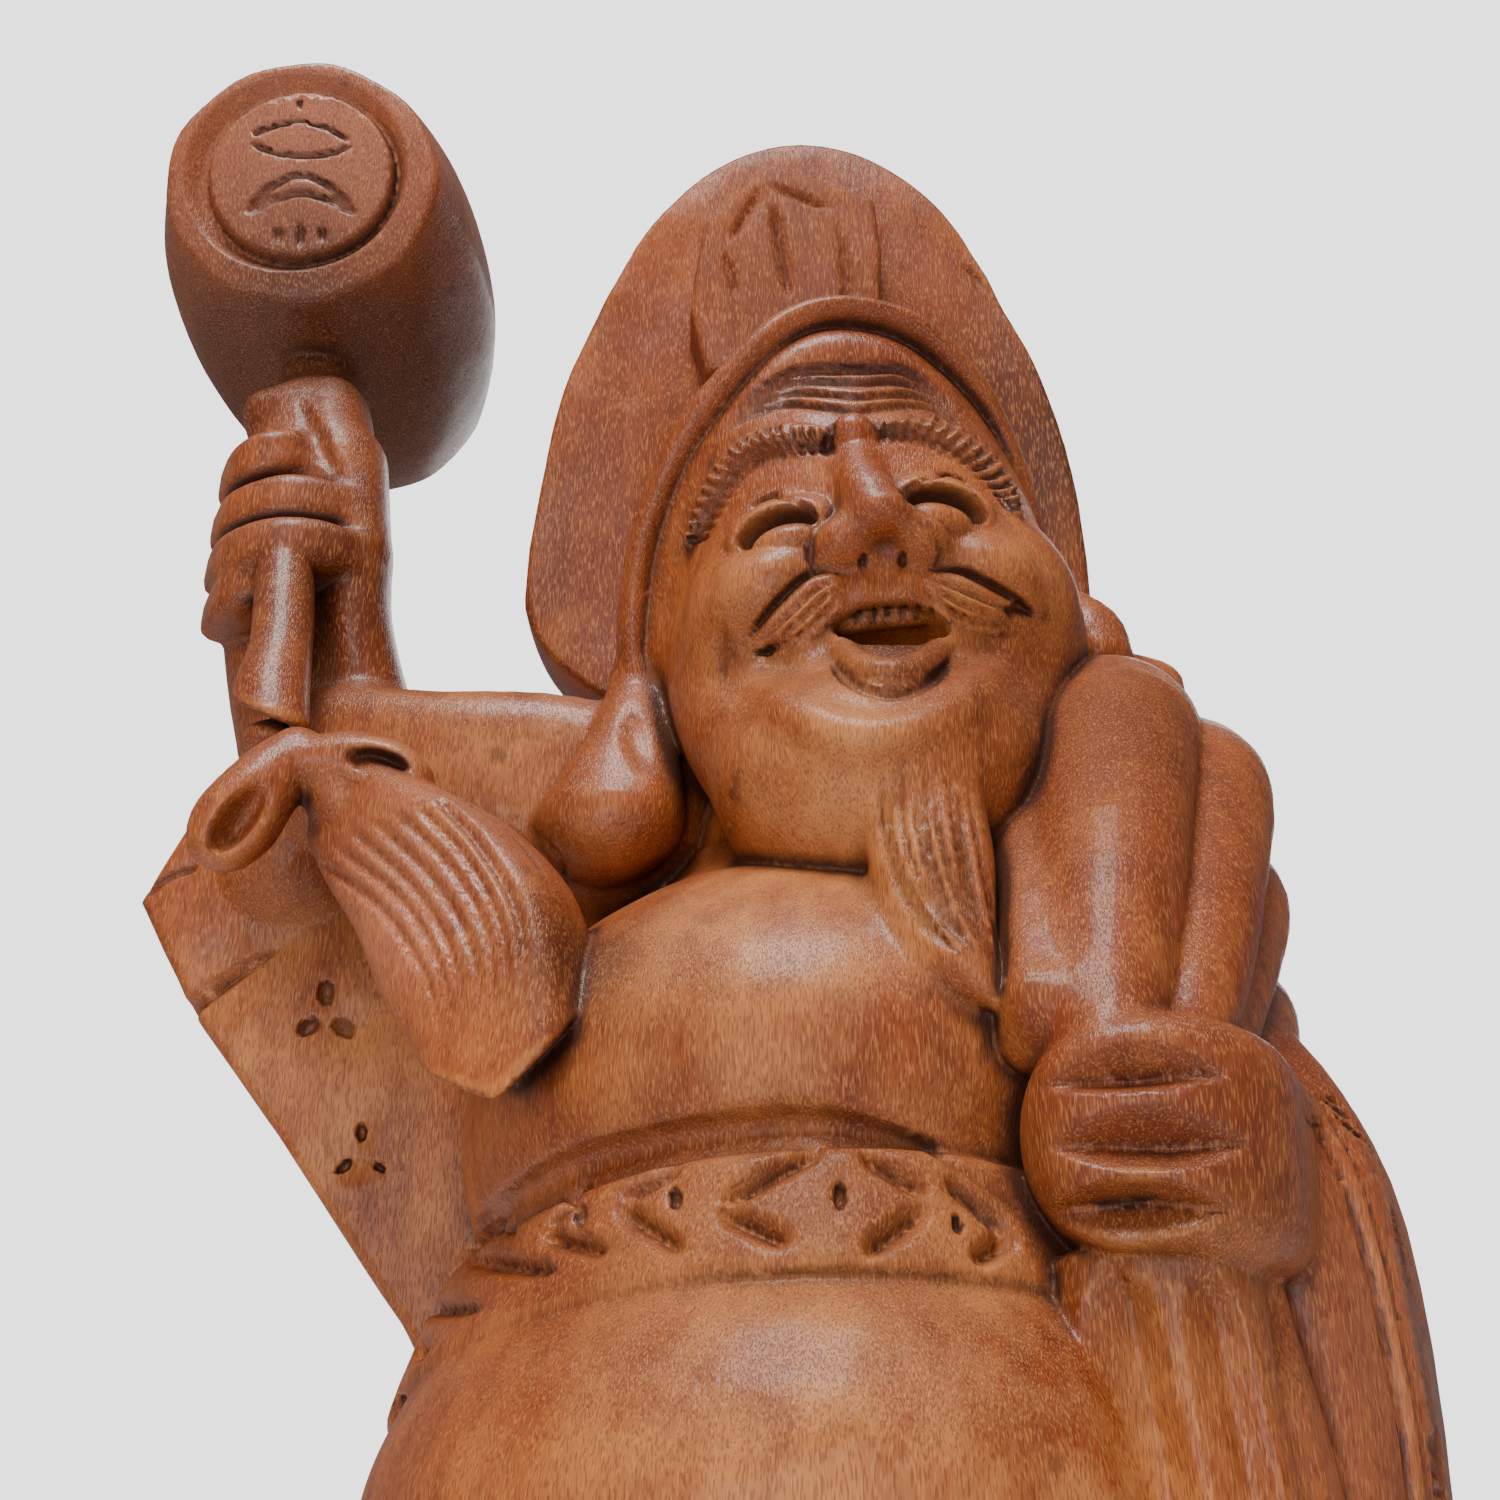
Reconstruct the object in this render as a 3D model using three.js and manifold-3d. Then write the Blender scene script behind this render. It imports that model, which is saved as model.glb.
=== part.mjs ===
// Carved wooden figure of a laughing god of plenty: a tall soft cap, a mallet raised in one hand,
// a sack held over the other shoulder, standing on two rice bales. It is carved from one block.
// Millimetres, +Z up, the figure faces -Y, and the origin is on the underside between the bales.
import * as THREE from "three";
import { LoftGeometry } from "three/addons/geometries/LoftGeometry.js";
import { mergeVertices } from "three/addons/utils/BufferGeometryUtils.js";
import Module from "manifold-3d";

// Driving sizes
const figureHeight = 437; // soles to the top of the cap
const baseWidth = 232;
const baseDepth = 196;
const baseHeight = 14;
const baleRadius = 52;
const baleLength = 184;
const baleSink = 6; // how deep the bales are sunk into the base
const baleOverlap = 3; // how far the two bales run into each other
const soleSink = 4; // how deep the soles are sunk into the bales
const malletLength = 108;
const malletEndRadius = 34.5;
const malletMidRadius = 44;
const handleRadius = 6;

// The carving is drawn at this height, with its soles at drawnSole, and scaled to figureHeight.
const drawnSole = 109;
const drawnTop = 546;
const share = figureHeight / (drawnTop - drawnSole);
const baleCentre = baseHeight + baleRadius - baleSink;
const soleLevel = baleCentre + baleRadius - soleSink;
const wood = { color: 0x9a5326, roughness: 0.38, metalness: 0 };

const wasm = await Module();
wasm.setup();
const { Manifold, Mesh } = wasm;
const radians = THREE.MathUtils.degToRad;
const vec = (p) => new THREE.Vector3(...p);

// From the drawing to the real figure
const onBales = new THREE.Matrix4()
  .makeScale(share, share, share)
  .setPosition(0, 0, soleLevel - drawnSole * share);

// Closed geometry to solid, turned right side out
function solid(geometry) {
  const bare = new THREE.BufferGeometry();
  bare.setAttribute("position", geometry.attributes.position);
  bare.setIndex(geometry.index);
  const merged = mergeVertices(bare, 1e-4);
  const corners = new Uint32Array(merged.index.array);
  const build = () =>
    new Manifold(
      new Mesh({
        numProp: 3,
        vertProperties: new Float32Array(merged.attributes.position.array),
        triVerts: corners,
      }),
    );
  const made = build();
  if (made.volume() > 0) return made;
  for (let i = 0; i < corners.length; i += 3) {
    [corners[i + 1], corners[i + 2]] = [corners[i + 2], corners[i + 1]];
  }
  return build();
}

const join = (solids) => solids.reduce((sum, next) => sum.add(next));
const carve = (body, cuts) => cuts.reduce((left, cut) => left.subtract(cut), body);

function turned(geometry, turn, at) {
  const angles = turn.map((degrees) => radians(degrees));
  return geometry
    .applyMatrix4(new THREE.Matrix4().makeRotationFromEuler(new THREE.Euler(...angles)))
    .translate(...at);
}

function egg(at, radii, columns = 14, rows = 9, turn = [0, 0, 0]) {
  const ball = new THREE.SphereGeometry(1, columns, rows).rotateX(Math.PI / 2).scale(...radii);
  return solid(turned(ball, turn, at));
}

// A chip carver's cut: a sharp diamond of that length, width and depth
function chip(at, halves, turn = [0, 0, 0]) {
  return solid(turned(new THREE.OctahedronGeometry(1).scale(...halves), turn, at));
}

// A rounded bar along a smooth line. A station is [x, y, z, half width, half depth],
// and the depth is measured along facing. Every second corner is drawn in by the share flute,
// which leaves grooves along the bar.
function bar(stations, { steps = 8, sides = 8, facing = [0, -1, 0], blunt = 0.55, flute = 0 } = {}) {
  const line = new THREE.CatmullRomCurve3(stations.map((s) => vec(s)), false, "centripetal");
  const sizes = new THREE.CatmullRomCurve3(
    stations.map(([, , , wide, deep = wide]) => new THREE.Vector3(wide, deep, 0)),
  );
  const rings = [];
  const ring = (t, grow, slide) => {
    const centre = line.getPoint(t);
    const along = line.getTangent(t);
    const across = new THREE.Vector3().crossVectors(vec(facing), along).normalize();
    const out = new THREE.Vector3().crossVectors(along, across);
    const size = sizes.getPoint(t);
    centre.addScaledVector(along, slide * Math.min(size.x, size.y));
    const points = [];
    for (let i = 0; i < sides; i += 1) {
      const angle = (2 * Math.PI * i) / sides;
      const reach = grow * (1 - flute * (i % 2));
      points.push(
        centre
          .clone()
          .addScaledVector(across, Math.cos(angle) * size.x * reach)
          .addScaledVector(out, Math.sin(angle) * size.y * reach),
      );
    }
    rings.push(points);
  };
  if (blunt) ring(0, blunt, -0.6);
  for (let i = 0; i <= steps; i += 1) ring(i / steps, 1, 0);
  if (blunt) ring(1, blunt, 0.6);
  return solid(new LoftGeometry(rings, { capStart: true, capEnd: true }));
}

// A stack of level rings. A level is [z, centre x, centre y, half width, half depth],
// and wave(angle, z) scales the ring there.
function stack(levels, sides, wave = () => 1) {
  const rings = levels.map(([z, x, y, wide, deep]) => {
    const points = [];
    for (let i = 0; i < sides; i += 1) {
      const angle = (2 * Math.PI * i) / sides;
      const grow = wave(angle, z);
      points.push(
        new THREE.Vector3(
          x + Math.cos(angle) * wide * grow,
          y + Math.sin(angle) * deep * grow,
          z,
        ),
      );
    }
    return points;
  });
  return solid(new LoftGeometry(rings, { capStart: true, capEnd: true }));
}

// A flat panel seen from the front: outline points are [x, z], from y = front to y = back
function panel(outline, front, back, bevel = 2) {
  const shape = new THREE.Shape(outline.map(([x, z]) => new THREE.Vector2(x, z)));
  const slab = new THREE.ExtrudeGeometry(shape, {
    depth: back - front - 2 * bevel,
    bevelEnabled: bevel > 0,
    bevelSize: bevel,
    bevelOffset: -bevel,
    bevelThickness: bevel,
    bevelSegments: 1,
    steps: 1,
  });
  return solid(slab.rotateX(Math.PI / 2).translate(0, back - bevel, 0));
}

const mirrored = (side, [x, ...rest]) => [side * x, ...rest];

// A turned body about the Y axis, from [radius, y] points
function turnedBarrel(profile, sides) {
  return new THREE.LatheGeometry(
    profile.map(([r, z]) => new THREE.Vector2(r, z)),
    sides,
  );
}

// Low base: a board with rounded corners and a planed underside
function base() {
  const corner = 22;
  const bevel = 3;
  const [x, y] = [baseWidth / 2 - bevel, baseDepth / 2 - bevel];
  const shape = new THREE.Shape();
  shape.moveTo(x, corner - y);
  shape.absarc(x - corner, y - corner, corner, 0, Math.PI / 2);
  shape.absarc(corner - x, y - corner, corner, Math.PI / 2, Math.PI);
  shape.absarc(corner - x, corner - y, corner, Math.PI, 1.5 * Math.PI);
  shape.absarc(x - corner, corner - y, corner, 1.5 * Math.PI, 2 * Math.PI);
  const board = new THREE.ExtrudeGeometry(shape, {
    depth: baseHeight - 2 * bevel,
    bevelSize: bevel,
    bevelThickness: bevel,
    bevelSegments: 1,
    curveSegments: 4,
  });
  return solid(board.translate(0, 0, bevel));
}

// Rice bales: straw barrels that lie front to back, each bound with three ropes
function bale(side) {
  const half = baleLength / 2;
  const ropePlaces = [-0.6, 0, 0.6];
  const ropeHalf = 7;
  const ropeRise = 3;
  const dish = 5;
  const girth = (z) => baleRadius * (1 - 0.13 * (z / half) ** 2);
  const end = girth(half);
  const profile = [[0, dish - half], [end * 0.7, dish - half], [end * 0.8, -half], [end - 3, -half]];
  ropePlaces.forEach((place) => {
    const z = place * half;
    profile.push([girth(z - ropeHalf), z - ropeHalf], [girth(z) + ropeRise, z]);
    profile.push([girth(z + ropeHalf), z + ropeHalf]);
  });
  profile.push([end - 3, half], [end * 0.8, half], [end * 0.7, half - dish], [0, half - dish]);
  const x = side * (baleRadius - baleOverlap / 2);
  return solid(turnedBarrel(profile, 13).translate(x, 0, baleCentre));
}

// Body: belly, chest, skirt with folds, short baggy legs and boots
function body() {
  const skirtFolds = 8;
  const fold = (angle, z) => 1 + (z < 175 ? 0.04 : 0.01) * Math.cos(skirtFolds * angle);
  const pieces = [
    egg([0, -10, 186], [84, 93, 64], 18, 9),
    egg([0, -3, 262], [69, 71, 66], 16, 8),
    bar([[6, 6, 300, 40, 38], [8, 10, 352, 40, 34]], { steps: 1, sides: 8 }),
    stack(
      [
        [134, 0, 2, 84, 76],
        [158, 0, 0, 82, 76],
        [215, 0, 0, 66, 66],
      ],
      skirtFolds * 3,
      fold,
    ),
    stack([[60, 0, 4, 20, 40], [150, 0, 2, 50, 50]], 6),
  ];
  [-1, 1].forEach((side) => {
    pieces.push(
      bar([[side * 36, -12, 104, 22, 22], [side * 37, -12, 122, 30, 30], [side * 38, -8, 150, 30, 30]], {
        steps: 2,
        sides: 8,
        blunt: 0,
      }),
      egg([side * 38, -46, 113], [19, 35, 14], 8, 5, [0, 0, side * 12]),
    );
  });
  return join(pieces);
}

// Sash: a raised band that sinks towards the sides, chip carved with diamonds
const sashHalf = 10.5;
const sashDepth = 32; // how far it reaches into the body
const sashTurns = 24;
function sashPoint(angle, rise = 0, proud = 0) {
  const drop = 15 * (1 - Math.cos(angle));
  const z = 234 - drop + rise;
  const wide = 73 + 0.5 * drop + proud - rise * 0.35;
  const deep = 83 - 0.1 * drop + proud - rise * 0.35;
  return [Math.sin(angle) * wide, -4 - Math.cos(angle) * deep, z];
}

function sash() {
  const rings = [];
  for (let i = 0; i <= sashTurns; i += 1) {
    const angle = (2 * Math.PI * (i % sashTurns)) / sashTurns;
    rings.push([
      vec(sashPoint(angle, -sashHalf, 0)),
      vec(sashPoint(angle, sashHalf, -1)),
      vec(sashPoint(angle, sashHalf, -sashDepth)),
      vec(sashPoint(angle, -sashHalf, -sashDepth)),
    ]);
  }
  return solid(new LoftGeometry(rings));
}

function sashCuts() {
  const cuts = [];
  const pitch = 19.5; // degrees between diamonds
  for (let i = -3; i <= 1; i += 1) {
    const middle = radians(i * pitch);
    cuts.push(chip(sashPoint(middle, 0, 0), [1.3, 3, 3.4], [0, 0, i * pitch]));
    [-1, 1].forEach((side) => {
      [-1, 1].forEach((up) => {
        const at = sashPoint(middle + radians(side * pitch * 0.25), up * sashHalf * 0.45, 0);
        cuts.push(chip(at, [7.5, 2.6, 1.5], [0, side * up * 40, i * pitch]));
      });
    });
  }
  return cuts;
}

// Head: built about its own centre, facing -Y, then leaned, turned and set on the chest
const headRadii = [44, 48, 68];
const headPlace = new THREE.Matrix4().compose(
  vec([12, -12, 376]),
  new THREE.Quaternion().setFromEuler(new THREE.Euler(radians(6), radians(-7), radians(4), "YZX")),
  new THREE.Vector3(1, 1, 1),
);

function eyePieces(side) {
  const lid = [[6, -44, 6, 1.8, 2.4], [13, -46, 14, 2.2, 3], [22, -43, 14, 2.2, 3], [34, -32, 6, 1, 1.6]];
  return {
    socket: egg(mirrored(side, [20, -50, 12]), [13, 9, 8], 8, 5, [0, 0, side * 22]),
    ball: egg(mirrored(side, [19, -36, 5]), [11, 8, 9], 8, 5, [0, 0, side * 22]),
    lid: bar(lid.map((s) => mirrored(side, s)), { steps: 4, sides: 4 }),
    slit: chip(mirrored(side, [19, -46, 9]), [10, 4, 2], [0, side * 4, side * 22]),
  };
}

function head() {
  const eyes = [-1, 1].map(eyePieces);
  const pieces = [egg([0, 0, 0], headRadii, 16, 10)];
  const cuts = eyes.map((eye) => eye.socket);
  cuts.push(egg([0, -44, -20], [13.5, 12, 8.5], 10, 5));
  const carved = [];
  [-1, 1].forEach((side) => {
    const place = (station) => mirrored(side, station);
    pieces.push(egg([side * 22, -27, -6], [19, 17, 19], 8, 6));
    carved.push(
      bar([[3, -48, 31, 3.5, 3], [17, -46, 37, 5, 4], [30, -35, 30, 4.5, 4], [39, -20, 15, 2, 3]].map(place), {
        steps: 4,
        sides: 4,
      }),
      egg([side * 6.5, -53, -1], [5, 6, 5], 8, 5),
      bar([[2, -49, -9, 2.5, 3], [14, -49, -11, 4.5, 4], [25, -42, -15, 3.5, 4], [34, -32, -18, 1, 2]].map(place), {
        steps: 4,
        sides: 4,
      }),
    );
  });
  pieces.push(egg([0, -21, -46], [34, 27, 27], 9, 6));
  eyes.forEach((eye) => carved.push(eye.ball.subtract(eye.slit), eye.lid));
  carved.push(
    bar([[0, -43, 26, 5, 4], [0, -51, 14, 4.5, 5], [0, -58, 3, 7, 6]], { steps: 3, sides: 6 }),
    bar([[-13, -43, -21, 2.5, 4], [0, -46, -30, 4, 5], [13, -43, -21, 2.5, 4]], { steps: 4, sides: 5 }),
  );
  carved.push(bar([[-11, -38, -15, 3, 3], [0, -41, -15, 3, 3], [11, -38, -15, 3, 3]], { steps: 2, sides: 4 }));
  const brim = [
    [-49, 4, -16, 9, 8],
    [-49, -6, 18, 8, 8],
    [-31, -20, 56, 5.5, 7],
    [0, -26, 70, 4.5, 7],
    [28, -20, 57, 4.5, 7],
    [45, -4, 20, 4.5, 7],
    [44, 6, -14, 5, 6],
  ];
  carved.push(bar(brim, { steps: 8, sides: 5 }));
  return join([carve(join(pieces), cuts), ...carved]).transform(headPlace.elements);
}

function ears() {
  return join([
    bar([[-40, -12, 370, 6, 5], [-43, -16, 350, 8, 6], [-43, -22, 331, 14, 10], [-43, -22, 324, 10, 8]], {
      steps: 4,
      sides: 8,
    }),
    bar([[54, -8, 396, 6, 5], [60, -12, 380, 11, 8], [61, -12, 373, 10, 8]], { steps: 2, sides: 8 }),
  ]);
}

function beard() {
  const strands = [
    [14, -48, 326, 12, 9],
    [17, -64, 308, 11, 9],
    [22, -74, 288, 7.5, 7],
    [27, -77, 268, 1.5, 3],
  ];
  return bar(strands, { steps: 4, sides: 12, facing: [-0.2, -1, 0], flute: 0.14 });
}

// Cap: a soft tall bag that falls back from its brim, with a folded crest in front
const capWide = 68;
const capRise = 146;
const capFall = 40;
const capMiddle = 400;

function cap() {
  const slices = [
    [2, 0.9],
    [5, 0.97],
    [14, 1],
    [30, 0.98],
    [42, 0.86],
    [50, 0.6],
  ];
  const sides = 18;
  const rings = slices.map(([y, grow]) => {
    const points = [];
    for (let i = 0; i < sides; i += 1) {
      const angle = (2 * Math.PI * i) / sides;
      const tall = Math.sin(angle) > 0 ? capRise : capFall;
      const z = capMiddle + Math.sin(angle) * tall * (grow * 0.5 + 0.5);
      points.push(new THREE.Vector3(-Math.cos(angle) * capWide * grow, y, z));
    }
    return points;
  });
  const bag = solid(new LoftGeometry(rings, { capStart: true, capEnd: true }));
  const swell = egg([2, 14, 446], [44, 26, 84], 12, 7, [-4, 0, 0]);
  const crest = [[-21, 450], [-24, 497], [-11, 527], [15, 508], [16, 462], [4, 452]];
  const flutes = [[-17, 494, 15], [-4, 498, 24], [9, 496, 20]].map(([x, z, long]) =>
    chip([x, -17, z], [2.4, 4, long], [6, 0, 0]),
  );
  const nape = bar([[2, 26, 380, 48, 18], [0, 30, 326, 56, 18]], { steps: 1, sides: 6 });
  return carve(join([bag, swell, nape, panel(crest, -17, 12, 2)]), flutes);
}

// Right arm, raised: shoulder, forearm, fist, and the mallet that it holds
const malletFront = [-131.5, -15, 518];
const malletAxis = new THREE.Vector3(-2, 107, 10).normalize();

function mallet() {
  const half = malletLength / 2;
  const bulge = (z) => malletMidRadius - (malletMidRadius - malletEndRadius) * (z / half) ** 2;
  const discRadius = malletEndRadius * 0.68;
  const moatDepth = 3;
  const profile = [[0, -half + 0.5], [discRadius - 1, -half], [discRadius, -half + moatDepth]];
  profile.push([discRadius + 3.5, -half + moatDepth], [malletEndRadius - 6, -half]);
  for (let i = 0; i <= 4; i += 1) {
    const z = -half + (malletLength * i) / 4;
    profile.push([bulge(z), z]);
  }
  profile.push([discRadius, half - 1], [0, half - 1]);
  const barrel = turnedBarrel(profile, 18);
  barrel.applyQuaternion(new THREE.Quaternion().setFromUnitVectors(new THREE.Vector3(0, 1, 0), malletAxis));
  const centre = vec(malletFront).addScaledVector(malletAxis, half);
  const strokes = [[0, 12, 12, 1.6], [0, 12, 1.6, 7], [0, 0, 12, 1.6], [-5, -11, 1.4, 6], [5, -11, 1.4, 6]];
  const cuts = strokes.map(([x, z, wide, tall]) =>
    chip([malletFront[0] + x, malletFront[1] - z * 0.093, malletFront[2] + z], [wide, 1.6, tall]),
  );
  return carve(solid(barrel.translate(...centre)), cuts);
}

function raisedArm() {
  const arm = [
    bar([[-40, 2, 338, 30, 26], [-80, 6, 352, 27, 24], [-112, 12, 352, 22, 22]], {
      steps: 2,
      sides: 8,
    }),
    bar([[-112, 14, 330, 20, 18], [-120, 14, 372, 18, 15], [-123, 12, 402, 18, 15]], {
      steps: 2,
      sides: 8,
    }),
  ];
  const fist = bar(
    [
      [-123, 4, 398, 19, 17],
      [-122, 2, 424, 19, 18],
      [-123, 6, 446, 17, 16],
      [-123, 18, 476, 11, 11],
    ],
    { steps: 3, sides: 10 },
  );
  const knuckleGaps = [405, 418, 431].map((z) => chip([-124, -15, z], [17, 7, 3]));
  const thumb = bar([[-106, 2, 408, 6, 6], [-107, -11, 428, 6, 6], [-112, -12, 446, 5, 5]], {
    steps: 2,
    sides: 6,
  });
  const handle = bar(
    [
      [-121, -4, 430, handleRadius],
      [-120, -14, 395, handleRadius],
      [-118, -25, 352, handleRadius + 1.5],
    ],
    { steps: 2, sides: 8 },
  );
  const knob = egg([-116, -27, 345], [6.5, 6.5, 6], 8, 5);
  return join([...arm, carve(fist, knuckleGaps), thumb, handle, knob]);
}

// The mallet's cord: a bow of two loops and a thick tassel that hangs down over the sleeve
function cordBow() {
  const loop = (at, wide, tall, turn) =>
    solid(turned(new THREE.TorusGeometry(1, 0.42, 5, 9).rotateX(Math.PI / 2).scale(wide, 8, tall), turn, at));
  const pieces = [
    loop([-116, -37, 321], 8, 11, [0, 30, 0]),
    loop([-90, -36, 333], 11, 6.5, [0, 12, 0]),
    egg([-103, -36, 328], [9, 9, 7], 7, 5),
    bar([[-102, -10, 330, 14, 10], [-92, -26, 324, 10, 10]], { steps: 2, sides: 8 }),
  ];
  const hang = [
    [-90, -32, 322, 10, 9],
    [-80, -42, 307, 13, 11],
    [-68, -50, 288, 14, 11],
    [-62, -55, 266, 13, 10],
  ];
  const outward = [-0.7, -0.7, 0];
  const strands = bar(hang, { steps: 4, sides: 14, facing: outward, blunt: 0, flute: 0.14 });
  return join([...pieces, strands]);
}

// Sleeve of the raised arm: a flat hanging panel with a cuff line and three-petalled flowers
const flowers = [
  [-106, 294],
  [-94, 262],
];

function hangingSleeve() {
  const outline = [
    [-149, 321],
    [-141, 340],
    [-120, 352],
    [-40, 352],
    [-30, 196],
    [-62, 196],
    [-83, 231],
    [-132, 293],
    [-136, 299],
  ];
  const front = 4;
  const cuts = [chip([-128, front, 300], [26, 5, 3], [0, -38, 0])];
  flowers.forEach(([x, z]) => {
    [90, 215, 325].forEach((degrees) => {
      const [dx, dz] = [Math.cos(radians(degrees)) * 5, Math.sin(radians(degrees)) * 5];
      cuts.push(chip([x + dx, front, z + dz], [3.6, 2, 1.5], [0, -degrees, 0]));
    });
  });
  return carve(panel(outline, front, 34, 3), cuts);
}

// Left arm: wide sleeve, fist with four fingers, and the sack's neck and tail that it grips
function loweredArm() {
  const wave = (angle, z) => 1 + 0.03 * Math.sin(angle * 11 + z * 0.02);
  const sleeve = stack(
    [
      [138, 68, -14, 26, 42],
      [170, 72, -19, 33, 49],
      [240, 72, -22, 33, 48],
      [276, 67, -14, 27, 40],
      [294, 60, -2, 18, 28],
    ],
    15,
    wave,
  );
  const fist = bar(
    [
      [40, -80, 243.5, 21, 16],
      [58, -80, 243.5, 21.5, 17],
      [76, -60, 243, 20, 16],
    ],
    { steps: 3, sides: 10, blunt: 0.72 },
  );
  const fingerGaps = [254, 242.5, 231].map((z) => chip([49, -97, z], [20, 9, 3.6]));
  return join([sleeve, carve(fist, fingerGaps)]);
}

function sack() {
  const folds = [
    [[44, -84, 256, 9], [54, -64, 300, 15], [66, -34, 340, 19], [72, -4, 350, 20], [66, 40, 336, 20]],
    [[56, -82, 256, 7], [70, -60, 292, 11], [82, -30, 328, 15], [84, -4, 341, 17], [78, 40, 328, 20]],
    [[62, -76, 256, 6], [78, -50, 284, 9], [88, -22, 308, 13], [88, 0, 317, 15], [82, 40, 309, 18]],
    [[66, -68, 256, 6], [82, -44, 270, 9], [90, -18, 286, 11], [90, 4, 292, 12], [84, 40, 286, 16]],
  ];
  const pieces = folds.map((stations) => bar(stations, { steps: 3, sides: 6, facing: [-0.3, -1, 0.3] }));
  pieces.push(egg([24, 62, 262], [78, 46, 96], 13, 8));
  pieces.push(egg([75, 12, 324], [18, 32, 17], 8, 5)); // fills the folds from inside
  const tailFolds = 5;
  const tailWave = (angle) => 1 + 0.08 * Math.cos(angle * tailFolds);
  pieces.push(
    stack(
      [
        [150, 53, -68, 26, 18],
        [190, 52, -70, 23, 19],
        [228, 51, -70, 18, 18],
      ],
      tailFolds * 3,
      tailWave,
    ),
  );
  return join(pieces);
}

const figure = join([
  body(),
  sash().subtract(join(sashCuts())),
  head(),
  ears(),
  beard(),
  cap(),
  mallet(),
  raisedArm(),
  cordBow(),
  hangingSleeve(),
  loweredArm(),
  sack(),
]).transform(onBales.elements);

const block = join([figure, base(), bale(-1), bale(1)]);

// Solid to three.js geometry
function geometryOf(made) {
  const { vertProperties, triVerts } = made.getMesh();
  const geometry = new THREE.BufferGeometry();
  geometry.setAttribute("position", new THREE.Float32BufferAttribute(vertProperties, 3));
  geometry.setIndex([...triVerts]);
  geometry.computeVertexNormals();
  return geometry;
}

const daikoku = new THREE.Mesh(geometryOf(block), new THREE.MeshStandardMaterial(wood));
daikoku.name = "daikoku_figure";
const group = new THREE.Group();
group.add(daikoku);

export default group;
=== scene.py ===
import math

import bpy
import numpy as np
import openvdb
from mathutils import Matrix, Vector


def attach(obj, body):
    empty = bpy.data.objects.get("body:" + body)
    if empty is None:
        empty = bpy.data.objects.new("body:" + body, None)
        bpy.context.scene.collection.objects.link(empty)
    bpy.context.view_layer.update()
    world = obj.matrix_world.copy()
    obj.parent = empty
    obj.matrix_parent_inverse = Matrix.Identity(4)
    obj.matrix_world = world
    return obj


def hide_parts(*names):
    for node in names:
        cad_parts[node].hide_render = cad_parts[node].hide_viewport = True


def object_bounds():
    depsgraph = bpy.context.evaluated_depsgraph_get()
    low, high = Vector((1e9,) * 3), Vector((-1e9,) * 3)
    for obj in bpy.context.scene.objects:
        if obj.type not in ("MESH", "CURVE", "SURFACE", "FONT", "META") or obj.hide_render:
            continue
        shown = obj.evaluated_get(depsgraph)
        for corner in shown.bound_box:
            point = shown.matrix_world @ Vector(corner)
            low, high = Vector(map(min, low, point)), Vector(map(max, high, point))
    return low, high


# Carved daikoku figure: one block of wood, worked out as distances to its surface on a grid,
# cut with the grooves of the carving and turned into one mesh. Millimetres until the mesh is made.
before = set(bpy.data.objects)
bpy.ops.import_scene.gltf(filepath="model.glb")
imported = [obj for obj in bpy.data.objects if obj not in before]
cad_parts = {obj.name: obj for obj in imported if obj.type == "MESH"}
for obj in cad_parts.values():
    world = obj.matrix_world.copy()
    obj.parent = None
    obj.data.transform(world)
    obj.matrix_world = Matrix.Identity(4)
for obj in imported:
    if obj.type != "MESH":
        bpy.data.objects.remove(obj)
CAD_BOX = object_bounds()

MM = 0.001
FAR = 30.0  # distance given where no form is near
REACH = 5.0  # how far outside a form its distances are worked out
CUT_REACH = 1.5  # the same for the bar that cuts a groove
FACET_SKIN = 2.0  # how much deeper than its crease a facet still changes distances
LEAST_HALF, LEAST_LAID = 0.3, 0.25  # least half width of a limb, and of one laid on a surface
THINNEST = 0.05  # share of its size that a line keeps at a thinned end
CLIP = 3.0  # distances beyond this don't matter to the mesh
SPARE = 0.1  # how far the surface stays inside the solid's own box
SOLE_DROP = 1.0  # the figure stands this much lower than its drawing, sunk in the bales
TINY = 1e-6  # keeps divisions away from zero
TRIANGLES = 194000
SLOPE_STEP, SHADING_STEP = 0.8, 0.45  # half lengths over which the surface's direction is read
COARSE = 1.0

# The camera, and the pane of glass in front of it on which lines of the carving are drawn
EYE = np.array([-14.0, -365.0, 170.0])
PITCH = 27.0  # degrees that the camera looks up
PITCH_COS, PITCH_SIN = math.cos(math.radians(PITCH)), math.sin(math.radians(PITCH))
GLASS = 180.0
RAY_START, RAY_REACH, RAY_TOUCH = 90.0, 620.0, 0.02  # a ray starts, gives up and has met wood
RAY_SHARE, RAY_LEAST, RAY_MOST = 0.7, 0.05, 3.0  # its step, as a share of the distance, and limits
OUTSIDE = 260.0  # rays thrown along an axis start this far from the middle
LENS = 43.2
SENSOR = 36.0


# Grid

def spaced(*runs):
    """Grid lines from runs of (start, step), up to the last start."""
    lines = []
    for (start, step), (end, _) in zip(runs, runs[1:]):
        count = max(1, round((end - start) / (step * COARSE)))
        lines.append(np.linspace(start, end, count, endpoint=False))
    return np.append(np.concatenate(lines), runs[-1][0]).astype(np.float32)


LINES = [
    spaced((-181, 0.9), (-30, 0.7), (62, 1.0), (121, 1)),
    spaced((-107, 0.75), (-14, 1.0), (14, 2.0), (112, 1)),
    spaced((-4, 1.5), (120, 1.3), (205, 0.9), (300, 0.7), (450, 1.0), (572, 1)),
]
GRID_LOW = [line[0] for line in LINES]
GRID_HIGH = [line[-1] for line in LINES]


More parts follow.
